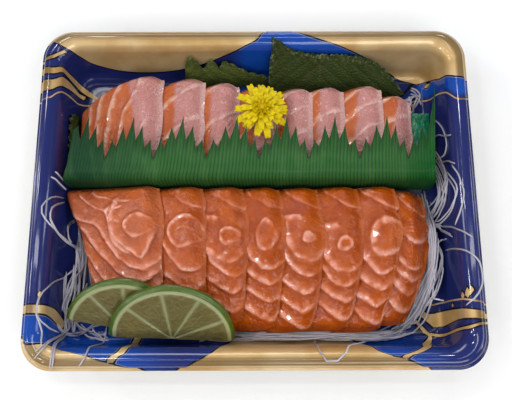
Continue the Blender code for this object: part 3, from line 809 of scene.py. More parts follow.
def make_front_slices(looks):
    finish = fish_finish("salmon_loin_wet", looks.loin, looks.loin_deep_and_crease_shade, looks.loin_fat_and_painted_light)
    for index in range(len(FRONT.rights)):
        slab = Slab(FRONT, index)
        a, b, down = slab.a, slab.b, slab.down
        length = slab.length * (1 - 0.05 * np.abs(2 * a - 1) ** 5)
        y = (FRONT.starts[index] + FRONT.ends[index]) / 2 + (b - 0.5) * length
        slope = (-down * (1 - 0.15 * (1 - b * b))
                 - 2.4 * np.abs(2 * b - 1) ** 5 * np.maximum(0, 2 * a - 1))
        through = slab.through
        s = -slope - through * slab.right_rim
        t = FRONT.ends[index] - y + through * slab.front_rim - through * slab.back_rim
        marks = Marks(s, t, 11 + index)
        mark_front(marks, index)

        # Painted light: a pale line along the right rim, lower down the slice, lightens the shade
        # where it meets the next slice.
        marks.fat = np.maximum(marks.fat, 0.2 * bell(down, 1.2) * blend(t, 40, 20))
        lumps = Unevenness(31 + index)
        groove = bell(t - 12.2 + 0.045 * s ** 2, 2.0) * (index > 0)
        lobe = np.exp(-(((t - 4.5 + 0.3 * (s - 7)) / 3.6) ** 2 + ((s - 7) / 6) ** 2))
        relief = 0.22 * lumps(s / 6, t / 6) + 0.1 * lumps(s / 2.2 + 9, t / 2.2)
        relief += 0.12 * marks.fat + 0.5 * marks.swell - 0.3 * marks.crease
        relief += (0.6 * lobe - 0.6 * groove) * (index > 0)
        if MUSCLES[index].ring:
            ring_s, ring_t = MUSCLES[index].ring[:2]
            relief += 0.3 * np.exp(-(((s - ring_s) / 7) ** 2 + ((t - ring_t) / 7) ** 2))
        relief = relief * slab.shown
        slope = slope + bell(down, 5) * (0.5 * lumps(t / 7, t * 0) - 1.0 * groove
                                         + 0.7 * marks.swell - 0.3 + 0.5 * bell(t - 21, 7))
        x, y, z = slab.place(slope, y, slab.rounding(FRONT.ends[index] - y), relief)
        if index == 0:
            flare = FIRST_SLICE_FLARE * (1 - a) ** 3 * blend(b, 0.5, 1)
            x, z = x - flare, z + 1.2 * flare
        if index == len(FRONT.rights) - 1:
            z = z - droop(a, 9.5, 0.55)
        z = BED_TOP + (z - BED_TOP) * (1 - front_sag(x, y))
        x = -10 + (x + 10) * (1 - 0.0025 * np.maximum(0, -22 - y))
        x = x - RIGHT_GATHER * blend(x, 42, 80) * blend(-y, 28, 58)
        # The pale field is a painted sheen, strongest on the first slices.
        add_piece(f"loin_slice_{index + 1}", slab.mesh, (x, y, z), finish, "salmon_loin",
                  f"front_slice_{index + 1}", fat=marks.fat, crease=marks.crease,
                  pale=a * 0 + PAINTED_SHEEN[index])


# Back slices: left edge of the skin band down the slope, and where the fat lines cross 15 mm
# down the slope, from the front of the tray to its back.
SKIN_EDGES = (
    [(60.5, 15.1), (55.4, 14.5), (48.1, 12.5), (40.5, 10.8), (20, 9)],
    [(60, 12.6), (45, 12.2), (20, 11.5)], [(60, 11.6), (45, 11.3), (20, 11)],
    [(60, 8.6), (40, 8), (20, 8.4)], [(60, 10.6), (41, 10.2), (20, 9)],
    [(50.4, 9.0), (41.2, 9.6), (31.6, 10.7), (20.8, 10.4)],
    [(49.7, 8.9), (41.2, 9.9), (31.6, 10.8), (20, 11.6)], [(44.5, 4.1), (31.1, 7.6), (20, 8)])
BELLY_LINES = ((), (58.3, 44.8, 28), (57.5, 48.4, 30.3, 18), (54, 40, 27, 15), (52, 44, 33, 21),
               (46.5, 31.6, 20), (46.5, 35.8, 24), (42.7, 30, 20))
FIRST_BELLY_LINES = (
    [(18, 62), (18.5, 59.2), (22, 49.7), (24.3, 41.3), (25.4, 31.6), (25.6, 18)],
    [(22.6, 59.3), (27.8, 53.8), (30.6, 42.9), (31.4, 34.9), (31, 20)],
    [(25.9, 57.3), (34.5, 49.8), (35.5, 44.3), (36, 30)],
    [(8.4, 58), (8.8, 54.4), (12.4, 46.3), (16.1, 40.7), (18.2, 29.4), (18.5, 16)],
    [(-1, 40.5), (4, 35.2), (7.5, 27.9), (9, 16)],
)


def make_back_slices(looks):
    finish = fish_finish("salmon_belly_wet", looks.belly, looks.belly_deep_and_crease_shade, looks.belly_fat_and_painted_light,
                         looks.skin)
    for index in range(len(BACK.rights)):
        slab = Slab(BACK, index)
        a, b, down = slab.a, slab.b, slab.down
        length = slab.length - 16 * (1 - a) ** 2.4 - 3.2 * np.maximum(0, 2 * a - 1) ** 6
        y = BACK.starts[index] + b * length
        through = slab.through
        s = down - through * slab.right_rim
        t = y + through * slab.back_rim - through * slab.front_rim
        marks = Marks(s, t, 51 + index)
        lines = [smooth_line(points, 3) for points in FIRST_BELLY_LINES] if index == 0 else [
            smooth_line([(25, cross - 7.6), (20, cross - 4), (15, cross), (9, cross + 4.6),
                         (4, cross + 7.2), (-2, cross + 11)], 3) for cross in BELLY_LINES[index]]
        for line in lines:
            marks.draw(line[::-1], 1.25, 1.0, glow=0.3, crease=0.6)
        # Painted light: a pale line along each right rim lightens the shade between the slices.
        marks.fat = np.maximum(marks.fat, 0.7 * bell(down, 1.2))
        edge = np.array(SKIN_EDGES[index])[::-1]
        lumps = Unevenness(71 + index)
        band = np.interp(t, edge[:, 0], edge[:, 1]) + 0.5 * lumps(t / 4, t * 0)
        skin = blend(s, band + 1.1, band - 1.1)
        relief = 0.22 * lumps(s / 6, t / 6) + 0.1 * marks.fat - 0.16 * marks.crease
        relief = (relief - 0.12 * bell(s - band, 0.7)) * slab.shown
        slope = -down + bell(down, 5) * 0.5 * lumps(t / 8, t * 0 + 3)
        x, y, z = slab.place(slope, y, slab.rounding(BACK.starts[index] + length - y), relief)
        if index == len(BACK.rights) - 1:
            z = z - droop(a, 5, 0.6)
        z = BED_TOP + (z - BED_TOP) * (1 - back_sag(y))
        add_piece(f"belly_slice_{index + 1}", slab.mesh, (x, y, z), finish, "salmon_belly",
                  f"back_slice_{index + 1}", fat=marks.fat, crease=marks.crease, skin=skin,
                  pale=0 * a)


# ---------------------------------------------------------------- divider

DIVIDER_SHEET = 0.3
# Path of the film from its foot to its tall tips: y, z, left end, right end and normal's angle.
DIVIDER_PATH = [(6.2, 3.0, -86.2, 84.6, 0), (6.2, 18.5, -87.8, 83.6, 15),
                (8.0, 23.1, -86.8, 82.6, 50), (12.0, 25.0, -85.2, 82.2, 80),
                (34.0, 27.0, -82.0, 83.0, 86)]
DIVIDER_LEAD = (16.0, 25.4, -84.6, 82.3, 83)         # sets how the curve leaves the path's bend
CURVE_STEPS = 12
BLADE_OVERHANG = 0.8                 # of the tall tips beyond the path's end
TALL_BLADES = (-75.8, -55.2, -32.5, -7.7, 15.1, 37.1, 61.0, 81.0)
# Share of a unit's width and distance back from the tall tip, for half of a unit.
BLADE_POINTS = [(0.0, 0.0), (0.1, 11.2), (0.2, 4.6), (0.3, 14.8), (0.4, 11.0), (0.5, 19.6)]
LEFT_END_BACK, LAST_BLADE_REACH = 2.0, 14.0
FLANK = 6                             # cells in each flank of a blade
RIB_PITCH = 4                         # cells from rib to rib
BEND_ROWS, BLADE_ROWS = 16, 16
BLADE_HOLLOW = 0.8                   # below 1 draws the flanks of a blade in towards its tip


def blade_margin():
    """Columns of the film from left to right: x and how far the margin is from the tall tips."""
    keys = []
    for index, tall in enumerate(TALL_BLADES):
        before = tall - TALL_BLADES[index - 1] if index else TALL_BLADES[1] - tall
        after = TALL_BLADES[index + 1] - tall if index + 1 < len(TALL_BLADES) else before
        keys += [(tall - share * before, back) for share, back in reversed(BLADE_POINTS[1:])]
        keys += [(tall + share * after, back) for share, back in BLADE_POINTS[:-1]]
    low, high = DIVIDER_PATH[-1][2], DIVIDER_PATH[-1][3]
    keys = [key for key in keys if low + GAP < key[0] < high - GAP]
    keys = [(low, keys[0][1] + LEFT_END_BACK)] + keys + [(high, -LAST_BLADE_REACH)]
    columns = []
    for (x0, back0), (x1, back1) in zip(keys, keys[1:]):
        for share in np.arange(FLANK) / FLANK:
            if back0 < back1:
                back = back0 + (back1 - back0) * share ** BLADE_HOLLOW
            else:
                back = back1 + (back0 - back1) * (1 - share) ** BLADE_HOLLOW
            columns.append((x0 + share * (x1 - x0), back))
    return np.array(columns + [keys[-1]])


def grass_finish(looks):
    """Thin green film, pressed with fine ribs; it lets light through near its loose end."""
    grass = Finish("grass_film", Coat_Weight=0.06, Coat_Roughness=0.1, Specular_IOR_Level=0.12)
    across, rib, reach = grass.field("across"), grass.field("rib"), grass.field("reach")
    streaks = grass.noise(6, 3, stretch=(1, 0.25, 0.25))
    color = grass.coats(looks.grass_shade, (grass.step(across, 0.0, 0.3), looks.grass),
                        # Painted light: the loose right end is paler, as if lit through the film.
                        (grass.step(across, 0.88, 0.99), looks.grass_painted_backlight),
                        (grass.step(rib, 0.4, 0.95) * 0.62, screen(16, 46, 24)),
                        (grass.step(streaks, 0.5, 0.8) * 0.25, screen(84, 124, 70)),
                        # Painted shade: darker near the foot, where the film meets the front
                        # slices.
                        (grass.step(reach, 0.3, 0.08) * 0.25, screen(24, 56, 30)),
                        (grass.step(reach, 0.62, 1.0) * 0.45, screen(22, 46, 22)))
    grass.paint(Base_Color=color, Roughness=grass.noise(2, 2) * 0.2 + 0.45,
                Normal=grass.bump(grass.noise(3, 2, stretch=(2, 0.5, 0.5)), 0.15))
    return grass


def make_divider(looks):
    margin = blade_margin()
    columns = len(margin) - 1
    mesh, a, b, c = lattice(columns, BEND_ROWS + BLADE_ROWS)
    column = np.rint(a * columns).astype(int)
    row = np.rint(b * (BEND_ROWS + BLADE_ROWS))
    *curve, before, last = DIVIDER_PATH
    path = smooth_line([*curve, before, DIVIDER_LEAD], CURVE_STEPS)[:len(curve) * CURVE_STEPS + 1]
    bend = np.minimum(row / BEND_ROWS, 1) * (len(path) - 1)
    y, z, left, right, angle = (np.interp(bend, np.arange(len(path)), part) for part in path.T)
    reach = np.clip((row - BEND_ROWS) / BLADE_ROWS, 0, 1)
    run = (last[0] + BLADE_OVERHANG - margin[column, 1] - before[0]) * reach
    y = y + run
    z = z + run * (last[1] - before[1]) / (last[0] - before[0])
    far = run / (last[0] - before[0])
    left = left + far * (last[2] - before[2])
    right = right + far * (last[3] - before[3])
    angle = angle + (last[4] - before[4]) * np.clip(far, 0, 1)
    share = (margin[column, 0] - margin[0, 0]) / (margin[-1, 0] - margin[0, 0])
    x = left + share * (right - left)
    waves = Unevenness(5)
    first_tip = np.argmin(margin[:4 * FLANK, 1])
    half = RIB_PITCH / 2
    rib = 1 - np.abs((column - first_tip + half) % RIB_PITCH - half) / half
    out = c * DIVIDER_SHEET + 0.2 * (1 - rib) * blend(b, 0, 0.1)
    out = out + 0.45 * waves(x / 11, y / 16) * blend(y + z, 24, 32) + 0.35 * blend(reach, 0.6, 1)
    turn = np.radians(angle)
    y, z = y - out * np.cos(turn), z + out * np.sin(turn)
    add_piece("grass_divider", mesh, (x, y, z), grass_finish(looks), "green_film", "divider",
              sharp=50, across=share, rib=rib, reach=b)


# ---------------------------------------------------------------- leaves

class Plane:
    """Slanted plane: maps a distance across, a height and an offset to a point."""

    def __init__(self, start, across, rise):
        self.start, self.across, self.rise = np.array([start, across, rise], float)
        normal = np.cross(self.across, self.rise)
        self.normal = normal / np.linalg.norm(normal)

    def __call__(self, across, height, offset):
        return [self.start[axis] + across * self.across[axis] + height * self.rise[axis]
                + offset * self.normal[axis] for axis in range(3)]


def leaf_finish(name, blade):
    """Shiso leaf: dull green blade, paler veins and quilted flesh between them."""
    leaf = Finish(name, Coat_Weight=0.05, Specular_IOR_Level=0.25)
    vein, rim = leaf.field("vein"), leaf.field("rim")
    # Painted glints: pale specks along the leaf's rim.
    painted_rim_glints = rim * leaf.step(leaf.noise(1.6, 2), 0.5, 0.65)
    color = leaf.coats(blade, (leaf.noise(5, 4) * 0.8, screen(36, 44, 10)),
                       (vein * 0.3, screen(84, 94, 48)), (painted_rim_glints * 0.6, screen(120, 128, 96)))
    quilt = leaf.cells(1 / (1.5 * MM))
    height = leaf.step(quilt, 0, 0.3) * 0.7 + vein * 0.4 + leaf.noise(0.6, 2) * 0.3
    leaf.paint(Base_Color=color, Roughness=leaf.noise(4, 2) * 0.3 + 0.4,
               Normal=leaf.bump(height, 0.35))
    return leaf


LEAF_COLUMNS, LEAF_ROWS, LEAF_THICKNESS = 200, 32, 0.35


def make_leaf(name, node, plane, foot, margin, midrib, finish, seed, pitch=2.3, tooth=0.05,
              frill=0.5):
    """Toothed leaf between the outlines of its foot and its margin, quilted by its veins."""
    mesh, a, b, c = lattice(LEAF_COLUMNS, LEAF_ROWS)
    outline = smooth_line(margin, 6)
    outline_shares = np.linspace(0, 1, len(outline))
    foot = np.array(foot, float)
    walk = walked(outline)
    place = np.interp(a, outline_shares, walk) / pitch
    notch = tooth * (1 - (place % 1)) ** 1.5
    low_x = np.interp(a, [0, 1], foot[:, 0])
    low_z = np.interp(a, [0, 1], foot[:, 1])
    top_x = np.interp(a, outline_shares, outline[:, 0])
    top_z = np.interp(a, outline_shares, outline[:, 1])
    reach = b * (1 - notch * blend(b, 0.6, 1))
    across = low_x + (top_x - low_x) * reach
    height = low_z + (top_z - low_z) * reach
    lumps = Unevenness(seed)
    side = np.abs(across - midrib)
    veins = (height * 0.75 + side * 0.55) / 4.2
    vein = np.maximum(np.exp(-((veins - np.round(veins)) / 0.07) ** 2), bell(side, 0.5))
    offset = 0.35 * np.abs(np.sin(math.pi * veins)) + 0.5 * lumps(across / 7, height / 7)
    offset = offset + frill * blend(b, 0.65, 1) * np.sin(2 * math.pi * place * 0.43 + seed)
    points = plane(across, height, c * LEAF_THICKNESS + offset * blend(b, 0, 0.3))
    add_piece(name, mesh, points, finish, "leaf", node, sharp=60, vein=vein,
              rim=blend(b, 0.75, 1.0))


def make_leaves(looks):
    finish = leaf_finish("leaf_green", looks.leaf)
    make_leaf("shiso_right", "leaf_right", Plane((0, 53.1, 0), (1, 0, 0), (0, 0.686, 1.07)),
              [(9, 2.5), (70, 2.5)],
              [(7, 5), (7.1, 13), (7.5, 19.5), (8.6, 24.5), (8.2, 29), (11.8, 27.7), (14.6, 25.8),
               (18, 24), (24, 22.7), (32, 22), (42, 21.6), (51, 20.8), (57, 19), (62, 16.2),
               (66, 12.9), (70, 8.9), (75, 3.5)],
              32, finish, 21)
    # The left leaf gets a lighter copy of the leaf finish, painted light for the light it lacks.
    make_leaf("shiso_left", "leaf_left", Plane((0, 59.6, 0), (1, 0, 0), (0, 0.4, 1)),
              [(-33.5, 2.5), (7, 2.5)],
              [(-34.4, 5), (-33.4, 16), (-31.4, 21), (-28.4, 18.8), (-25.6, 14.6), (-24.2, 14.2),
               (-22.8, 17.6), (-20.4, 19), (-18.6, 17.4), (-17.6, 14.4), (-16.2, 16.6), (-13.8, 18),
               (-11, 16.8), (-7, 14), (-2, 11.4), (4, 9.6), (9, 7)], -22,
              leaf_finish("leaf_green_painted_light", looks.leaf_painted_light), 22, tooth=0.04)
    make_leaf("shiso_side", "leaf_side", Plane((-85.2, 0, 0), (0, -1, 0), (-0.18, 0, 1)),
              [(-42.5, 3), (-12.5, 3)],
              [(-43, 6), (-41.5, 13.5), (-36, 15.5), (-27.5, 14), (-17.5, 13.5), (-12, 9)],
              -27, finish, 23, pitch=1.9, tooth=0.07, frill=0.6)


# ---------------------------------------------------------------- flower

FLOWER_PLACE = (3.6, 38.5, 23.6)
PETAL_CELLS = (4, 9)                  # across and along a petal
PETAL_THICKNESS, PETAL_NOTCH = 0.4, 0.8
HEART_RADIUS, HEART_LEVEL, HEART_TOP, HEART_BOTTOM, HEART_ROWS = 3.2, 3.9, 2.2, 3.6, 24
# Rings of petals from the outside in: count, reach, heights at the foot and at the tip, width.
PETAL_RINGS = ((13, 12.6, 2.4, 0.9, 3.2), (13, 11.6, 3.0, 2.2, 3.1), (12, 10.0, 3.8, 3.6, 2.8),
               (12, 8.3, 4.4, 4.8, 2.4), (11, 6.6, 4.8, 5.8, 2.0), (10, 5.0, 5.0, 6.6, 1.6),
               (9, 3.7, 5.2, 7.1, 1.3), (7, 2.4, 5.4, 7.4, 1.1))


def petal_finish(looks):
    """Soft yellow petals, deeper at their feet."""
    petal = Finish("petal_yellow", Coat_Weight=0.05, Coat_Roughness=0.3, Specular_IOR_Level=0.15,
                   Subsurface_Weight=0.1, Subsurface_Radius=(1.0, 0.8, 0.1), Subsurface_Scale=0.001)
    color = petal.coats(looks.petal_deep_and_shade, (petal.step(petal.field("reach"), 0.1, 0.8), looks.petal),
                        (petal.step(petal.noise(1.5, 3), 0.45, 0.75) * 0.4, looks.petal_deep_and_shade))
    petal.paint(Base_Color=color, Roughness=petal.noise(2) * 0.25 + 0.35,
                Normal=petal.bump(petal.noise(0.5, 2), 0.12))
    return petal


def make_flower(looks):
    """Bloom of notched strap petals in rings round a domed heart."""
    shuffle = np.random.RandomState(9)
    count = sum(ring[0] for ring in PETAL_RINGS)
    mesh, points = copies(thicken(grid(*PETAL_CELLS)), count)
    across, along, through = 2 * points[:, 0], points[:, 1] + 0.5, points[:, 2]
    parts = []
    for number, reach, foot, tip, width in PETAL_RINGS:
        turns = 2 * math.pi * (np.arange(number) + shuffle.uniform(-0.36, 0.36, number)) / number
        turns = turns + shuffle.uniform(0, 6)
        for turn in turns:
            far = reach * shuffle.uniform(0.8, 1.02) * (1 + 0.14 * abs(math.sin(turn)))
            start = min(2.2, 0.3 * reach)
            radius = start + (far - start) * along
            radius = (radius - PETAL_NOTCH * bell(across, 0.3) * along ** 9
                      - 0.45 * np.abs(across) ** 3 * along ** 6)
            half = (0.5 * width * (0.5 + 0.5 * blend(along, 0, 0.55))
                    * (1 - 0.16 * blend(along, 0.75, 1)))
            lean = shuffle.uniform(-0.12, 0.12)
            sideways = across * half + lean * along ** 2 * reach * 0.5
            lift = foot + (tip - foot) * along ** 1.6 + 0.5 * np.sin(math.pi * along)
            lift = lift + 0.32 * across ** 2 + shuffle.uniform(-0.35, 0.35) * along
            lift = lift - PETAL_THICKNESS * (1 - through) * (1 - 0.5 * np.abs(across))
            x = FLOWER_PLACE[0] + radius * math.cos(turn) - sideways * math.sin(turn)
            y = FLOWER_PLACE[1] + radius * math.sin(turn) + sideways * math.cos(turn)
            parts.append(np.stack([x, y, FLOWER_PLACE[2] + lift, along], axis=1))
    everything = np.concatenate(parts)
    finish = petal_finish(looks)
    add_piece("flower_petals", mesh, everything[:, :3].T, finish, "petals", "flower", sharp=70,
              reach=everything[:, 3])

    bm = bmesh.new()
    bmesh.ops.create_uvsphere(bm, u_segments=2 * HEART_ROWS, v_segments=HEART_ROWS, radius=1)
    heart, px, py, pz = release(bm)
    px, py = px - 0.5, py - 0.5
    azimuth = np.arctan2(py, px)
    polar = np.arccos(np.clip(pz, -1, 1))
    bumps = np.sin(8 * azimuth + 9 * polar) * np.sin(-13 * azimuth + 9 * polar) * np.sin(polar)
    swell = 1 + 0.05 * bumps
    x = FLOWER_PLACE[0] + px * HEART_RADIUS * swell
    y = FLOWER_PLACE[1] + py * HEART_RADIUS * swell
    z = FLOWER_PLACE[2] + HEART_LEVEL + pz * np.where(pz > 0, HEART_TOP, HEART_BOTTOM) * swell
    # The heart's colour follows its bumps: deeper in the hollows, as painted shade.
    add_piece("flower_heart", heart, (x, y, z), finish, "petals", "flower",
              reach=0.35 + 0.4 * bumps)


# ---------------------------------------------------------------- limes

# Middle of the cut edge on the upper face, radius, turn, and the angles of the segment walls.
LIMES = {
    "lime_front": ((-36.8, -64.9, 12.55), 27.1, -3, (27, 62, 100, 140)),
    "lime_back": ((-58.3, -60.5, 9.9), 25.7, -13, (27, 60, 100, 138)),
}
LIME_THICKNESS, LIME_TILT = 3.4, math.radians(45)
LIME_CELLS = (120, 44, 4)             # round, out and through
JUICE_CELL = (7.5, 3.4)               # degrees round the slice and millimetres out from its middle
RIND, PITH = 0.75, 2.2                 # thicknesses in from the edge


def lime_finish(looks):
    """Cut lime: green rind, pale pith and walls, and juicy flesh in long cells."""
    lime = Finish("cut_lime", Coat_Weight=0.2, Coat_Roughness=0.12, Subsurface_Weight=0.15,
                  Subsurface_Radius=(0.7, 1.0, 0.3), Subsurface_Scale=0.003)
    rind, pith, wall = lime.field("rind"), lime.field("pith"), lime.field("wall")
    juice = lime.step(lime.cells(1.0, lime.node("ShaderNodeUVMap", {"uv_map": "cells"})), 0.0, 0.25)
    skin = lime.mix(lime.noise(3, 3), looks.lime_rind, screen(80, 104, 10))
    color = lime.coats(looks.lime_flesh, (lime.noise(7, 3), screen(116, 106, 60)),
                       (0.12 - juice * 0.12, screen(140, 134, 88)), (wall * 0.75, looks.lime_pith),
                       (pith, looks.lime_pith), (rind, skin))
    height = (juice * (1 - pith) * (1 - wall) * 0.4 + rind * lime.noise(0.7, 2) * 0.5
              + lime.noise(1.5, 2) * 0.2)
    lime.paint(Base_Color=color, Roughness=lime.noise(2) * 0.2 + 0.25,
               Normal=lime.bump(height, 0.3))
    return lime


def make_limes(looks):
    """Half slices whose flat faces look up and forwards, with the cut edge below."""
    finish = lime_finish(looks)
    for order, (name, (centre, radius, turn, walls)) in enumerate(LIMES.items()):
        mesh, a, b, c = lattice(*LIME_CELLS)
        angle = math.pi * (1 - a)
        far = radius * (1 - (1 - b) ** 1.15)
        lumps = Unevenness(91 + order)
        far = far * (1 + 0.012 * lumps(angle * 3, angle * 0))
        rim = b > 1 - EDGE
        cut = (a < EDGE) | (a > 1 - EDGE)
        round_off = 0.9 * (1 - (2 * c - 1) ** 2)
        out = far + round_off * rim
        px = out * np.cos(angle)
        py = out * np.sin(angle) - 0.35 * round_off * cut * (b > 0.02)
        inward = radius - far
        rind = np.maximum(blend(inward, RIND + 0.25, RIND - 0.25), (rim & (c < 0.99)).astype(float))
        pith = blend(inward, PITH + 0.5, PITH - 0.3)
        degrees = np.degrees(angle)
        gap = np.min([np.abs(np.sin(np.radians(degrees - wall))) * far for wall in walls], axis=0)
        wall = bell(gap, 0.38 + 0.02 * far) * blend(far, 0.5, 2)
        wall = np.maximum(wall, blend(far, 2.6, 1.6))
        flesh = (1 - pith) * (1 - wall)
        top = (c > 0.99).astype(float)
        juicy = 0.3 * flesh + 0.12 * flesh * lumps(px / 2, py / 2)
        lift = -(1 - c) * LIME_THICKNESS + top * juicy - 0.5 * rim * top
        tilt = Matrix.Rotation(LIME_TILT, 3, "X") @ Matrix.Rotation(math.radians(turn), 3, "Z")
        places = np.array(tilt) @ np.stack([px, py, lift]) + np.array(centre)[:, None]
        uv = mesh.uv_layers.new(name="cells")
        corners = np.empty(len(mesh.loops), np.int32)
        mesh.loops.foreach_get("vertex_index", corners)
        cells = np.stack([degrees / JUICE_CELL[0], far / JUICE_CELL[1]], axis=1)[corners]
        uv.data.foreach_set("uv", cells.astype(np.float32).ravel())
        add_piece(f"{name}_slice", mesh, places, finish, "lime", name, sharp=75, close=True,
                  rind=rind, pith=pith, wall=wall)


# ---------------------------------------------------------------- sachet

SACHET_CELLS = (28, 90)
SACHET_CORNER, SACHET_REACH, SACHET_THICKNESS = (75.2, 8.8, 10.9), (8.6, 32.0, 3.0), 2.8


def make_sachet(looks):
    """Crumpled emerald sachet behind the divider's right end."""
    foil = Finish("emerald_foil", Coat_Weight=0.3, Coat_Roughness=0.06, Specular_IOR_Level=0.25)
    color = foil.mix(foil.step(foil.noise(4, 3), 0.35, 0.7), looks.emerald, screen(4, 108, 72))
    foil.paint(Base_Color=color, Roughness=foil.noise(3) * 0.2 + 0.15,
               Normal=foil.bump(foil.noise(3.0, 1), 0.4))
    mesh, a, b, c = lattice(*SACHET_CELLS)
    fill = (1 - np.abs(2 * a - 1) ** 3) * (1 - np.abs(2 * b - 1) ** 6)
    wrinkles = Unevenness(41)
    height = (c - 0.5) * SACHET_THICKNESS * (0.18 + 0.82 * fill)
    height = (height + (c - 0.2) * 0.55 * wrinkles(a * 6, b * 14) * fill
              + 0.12 * (c - 0.5) * wrinkles(a * 14, b * 34))
    (x0, y0, z0), (length, width, rise) = SACHET_CORNER, SACHET_REACH
    x, y, z = x0 + a * length, y0 + b * width, z0 + b * rise + height
    add_piece("emerald_sachet", mesh, (x, y, z), foil, "emerald_film", "sachet", sharp=60)


# ---------------------------------------------------------------- radish

# Heaps in the gutters: height, start and end across, middle and reach along.
RIGHT_HEAP = (6.5, 79, 82, -32, 16, 30)
LEFT_HEAP = (5.0, 81, 83, -38, 12, 20)
FRONT_HEAP = (3.0, 61, 61.3, 30, 25, 40)
BED_LEVEL = 1.5
MAT_MIDDLE, MAT_HALVES, MAT_BOTTOM, MAT_LEAST_TOP = (1, -8.5), (80, 52), 1.1, 1.3
STRAND = 0.52                         # radius of a shred
LOOSE_STRAND = STRAND * 0.8
MAT_CELLS = (120, 90)
STRAND_SIDES, STRAND_RINGS = 5, 20


def heap(across, along, shape):
    height, start, end, middle, flat, reach = shape
    return height * blend(across, start, end) * blend(-np.abs(along - middle), -reach, -flat)


def bed_height(x, y):
    return BED_LEVEL + heap(x, y, RIGHT_HEAP) + heap(-x, y, LEFT_HEAP) + heap(-y, x, FRONT_HEAP)


def radish_finish(name, tone):
    """Wet shredded radish: glassy lilac-white."""
    radish = Finish(name, Coat_Weight=0.3, Coat_Roughness=0.1, Alpha=0.72)
    color = radish.mix(radish.noise(3, 3) * 0.3, tone, screen(130, 126, 146))
    radish.paint(Base_Color=color, Roughness=radish.noise(2) * 0.2 + 0.25,
                 Normal=radish.bump(radish.noise(1.2, 2), 0.15))
    return radish


# Shreds that lie on the walls and over the rim: how many side by side, how far they spread and
# their route, as distances round the rim and over it from the lip.
LOOSE_SHREDS = (
    (1, 0, [(214, 32), (218, 26), (223, 21), (229, 18), (233, 18), (236, 22), (235, 32)]),
    (1, 0, [(223, 36), (224, 27), (227, 20), (229, 13)]),
    (7, 3.2, [(230, 40), (235, 32), (241, 27), (246, 24), (251, 22), (255, 24), (258, 30),
              (261, 36), (265, 41)]),
    (4, 2.2, [(234, 43), (240, 36), (247, 31), (253, 31), (258, 37), (263, 42)]),
    (2, 1.2, [(246, 19), (251, 14), (256, 12), (261, 14), (264, 19), (266, 28), (267, 38)]),
    (1, 0, [(243, 14), (248, 11), (252, 10), (257, 9), (262, 10), (267, 12), (271, 15)]),
    (1, 0, [(238, 28), (240, 18), (243, 12)]),
    (2, 1.0, [(267, 41), (268, 35), (271, 27), (275, 18)]),
    (1, 0, [(267, 40), (268, 32), (271, 19), (274, 12), (276, 9), (278, 7)]),
    (1, 0, [(280, 28), (281, 19), (283, 11), (286, 7), (290, 4.5), (296, 4), (301, 6), (304, 8),
            (307, 12)]),
    (3, 1.6, [(274, 43), (277, 38), (282, 35), (287, 37), (292, 42)]),
    (1, 0, [(279, 41), (275, 35), (275, 26)]),
    (1, 0, [(299, 45), (302, 42), (303, 36)]),
    (1, 0, [(580.5, 24), (578.5, 14), (576, 10), (572, 8), (568, 9.5), (565, 13), (563, 21),
            (561, 34), (555, 44)]),
    (2, 1.0, [(579, 24), (575, 14), (571, 12), (567, 13), (564, 18), (562, 27), (561, 36),
              (558, 43)]),
    (2, 1.6, [(572, 38), (568, 32), (564, 33), (561, 37)]),
    (1, 0, [(555, 42), (550, 41), (547, 38), (544, 30), (541, 20), (537, 13), (533, 10), (527, 9),
            (523, 11),
              (520, 18), (517, 28)]),
    (2, 1.8, [(546, 40), (538, 36), (531, 35), (525, 35), (514, 33), (506, 16), (502, 9),
              (503, 3.5)]),
    (2, 1.6, [(548, 41), (538, 38), (531, 37), (525, 38), (518, 37), (513, 25), (510, 12),
              (510, 8)]),
    (3, 2.2, [(545, 30), (536, 31), (527, 35), (520, 40)]),
    (1, 0, [(486, 44), (487, 36), (488, 22), (489, 9), (492, 4)]),
    (2, 1.2, [(522, 26), (512, 36), (500, 40), (493, 43), (486, 45)]),
    (1, 0, [(526, 9), (518, 12), (511, 10)]),
    (1, 0, [(587, 11), (586, 17), (585, 26)]),
    (1, 0, [(590, 13), (589, 19), (588, 26)]),
    (1, 0, [(389, 43), (391, 34), (391, 14), (389, 7), (385, 6), (380, 9), (374, 24), (365, 38),
            (352, 45)]),
    (2, 1.5, [(200, 40), (196, 44), (190, 48)]),
)


def lay_strands(routes, radii):
    """One mesh of shreds along routes, which are arrays of ring centres."""
    bm = bmesh.new()
    bmesh.ops.create_circle(bm, segments=STRAND_SIDES, radius=1, cap_ends=True)
    mesh, points = copies(thicken(bm, STRAND_RINGS), len(routes))
    ring = np.rint(points[:, 2] * STRAND_RINGS).astype(int)
    routes = np.array(routes)                                        # shred, ring, axis
    ahead = np.gradient(routes, axis=1)
    ahead /= np.linalg.norm(ahead, axis=2, keepdims=True) + 1e-9
    aside = np.cross(ahead, [0, 0, 1.0])
    aside /= np.linalg.norm(aside, axis=2, keepdims=True) + 1e-9
    above = np.cross(aside, ahead)
    taper = np.minimum(1, 0.45 + 1.6 * np.minimum(points[:, 2], 1 - points[:, 2]) / 0.2)
    offsets = points[None, :, :] * (np.array(radii)[:, None] * taper[None, :])[:, :, None]
    places = (routes[:, ring] + aside[:, ring] * offsets[:, :, :1]
              + above[:, ring] * offsets[:, :, 1:2])
    return mesh, places.reshape(-1, 3)


def resampled(points, count):
    """Evenly spaced points along a smooth route."""
    line = smooth_line(points, 8)
    walk = np.concatenate([[0], np.cumsum(np.linalg.norm(np.diff(line, axis=0), axis=1))])
    stops = np.linspace(0, walk[-1], count)
    return np.stack([np.interp(stops, walk, axis) for axis in line.T], axis=1)


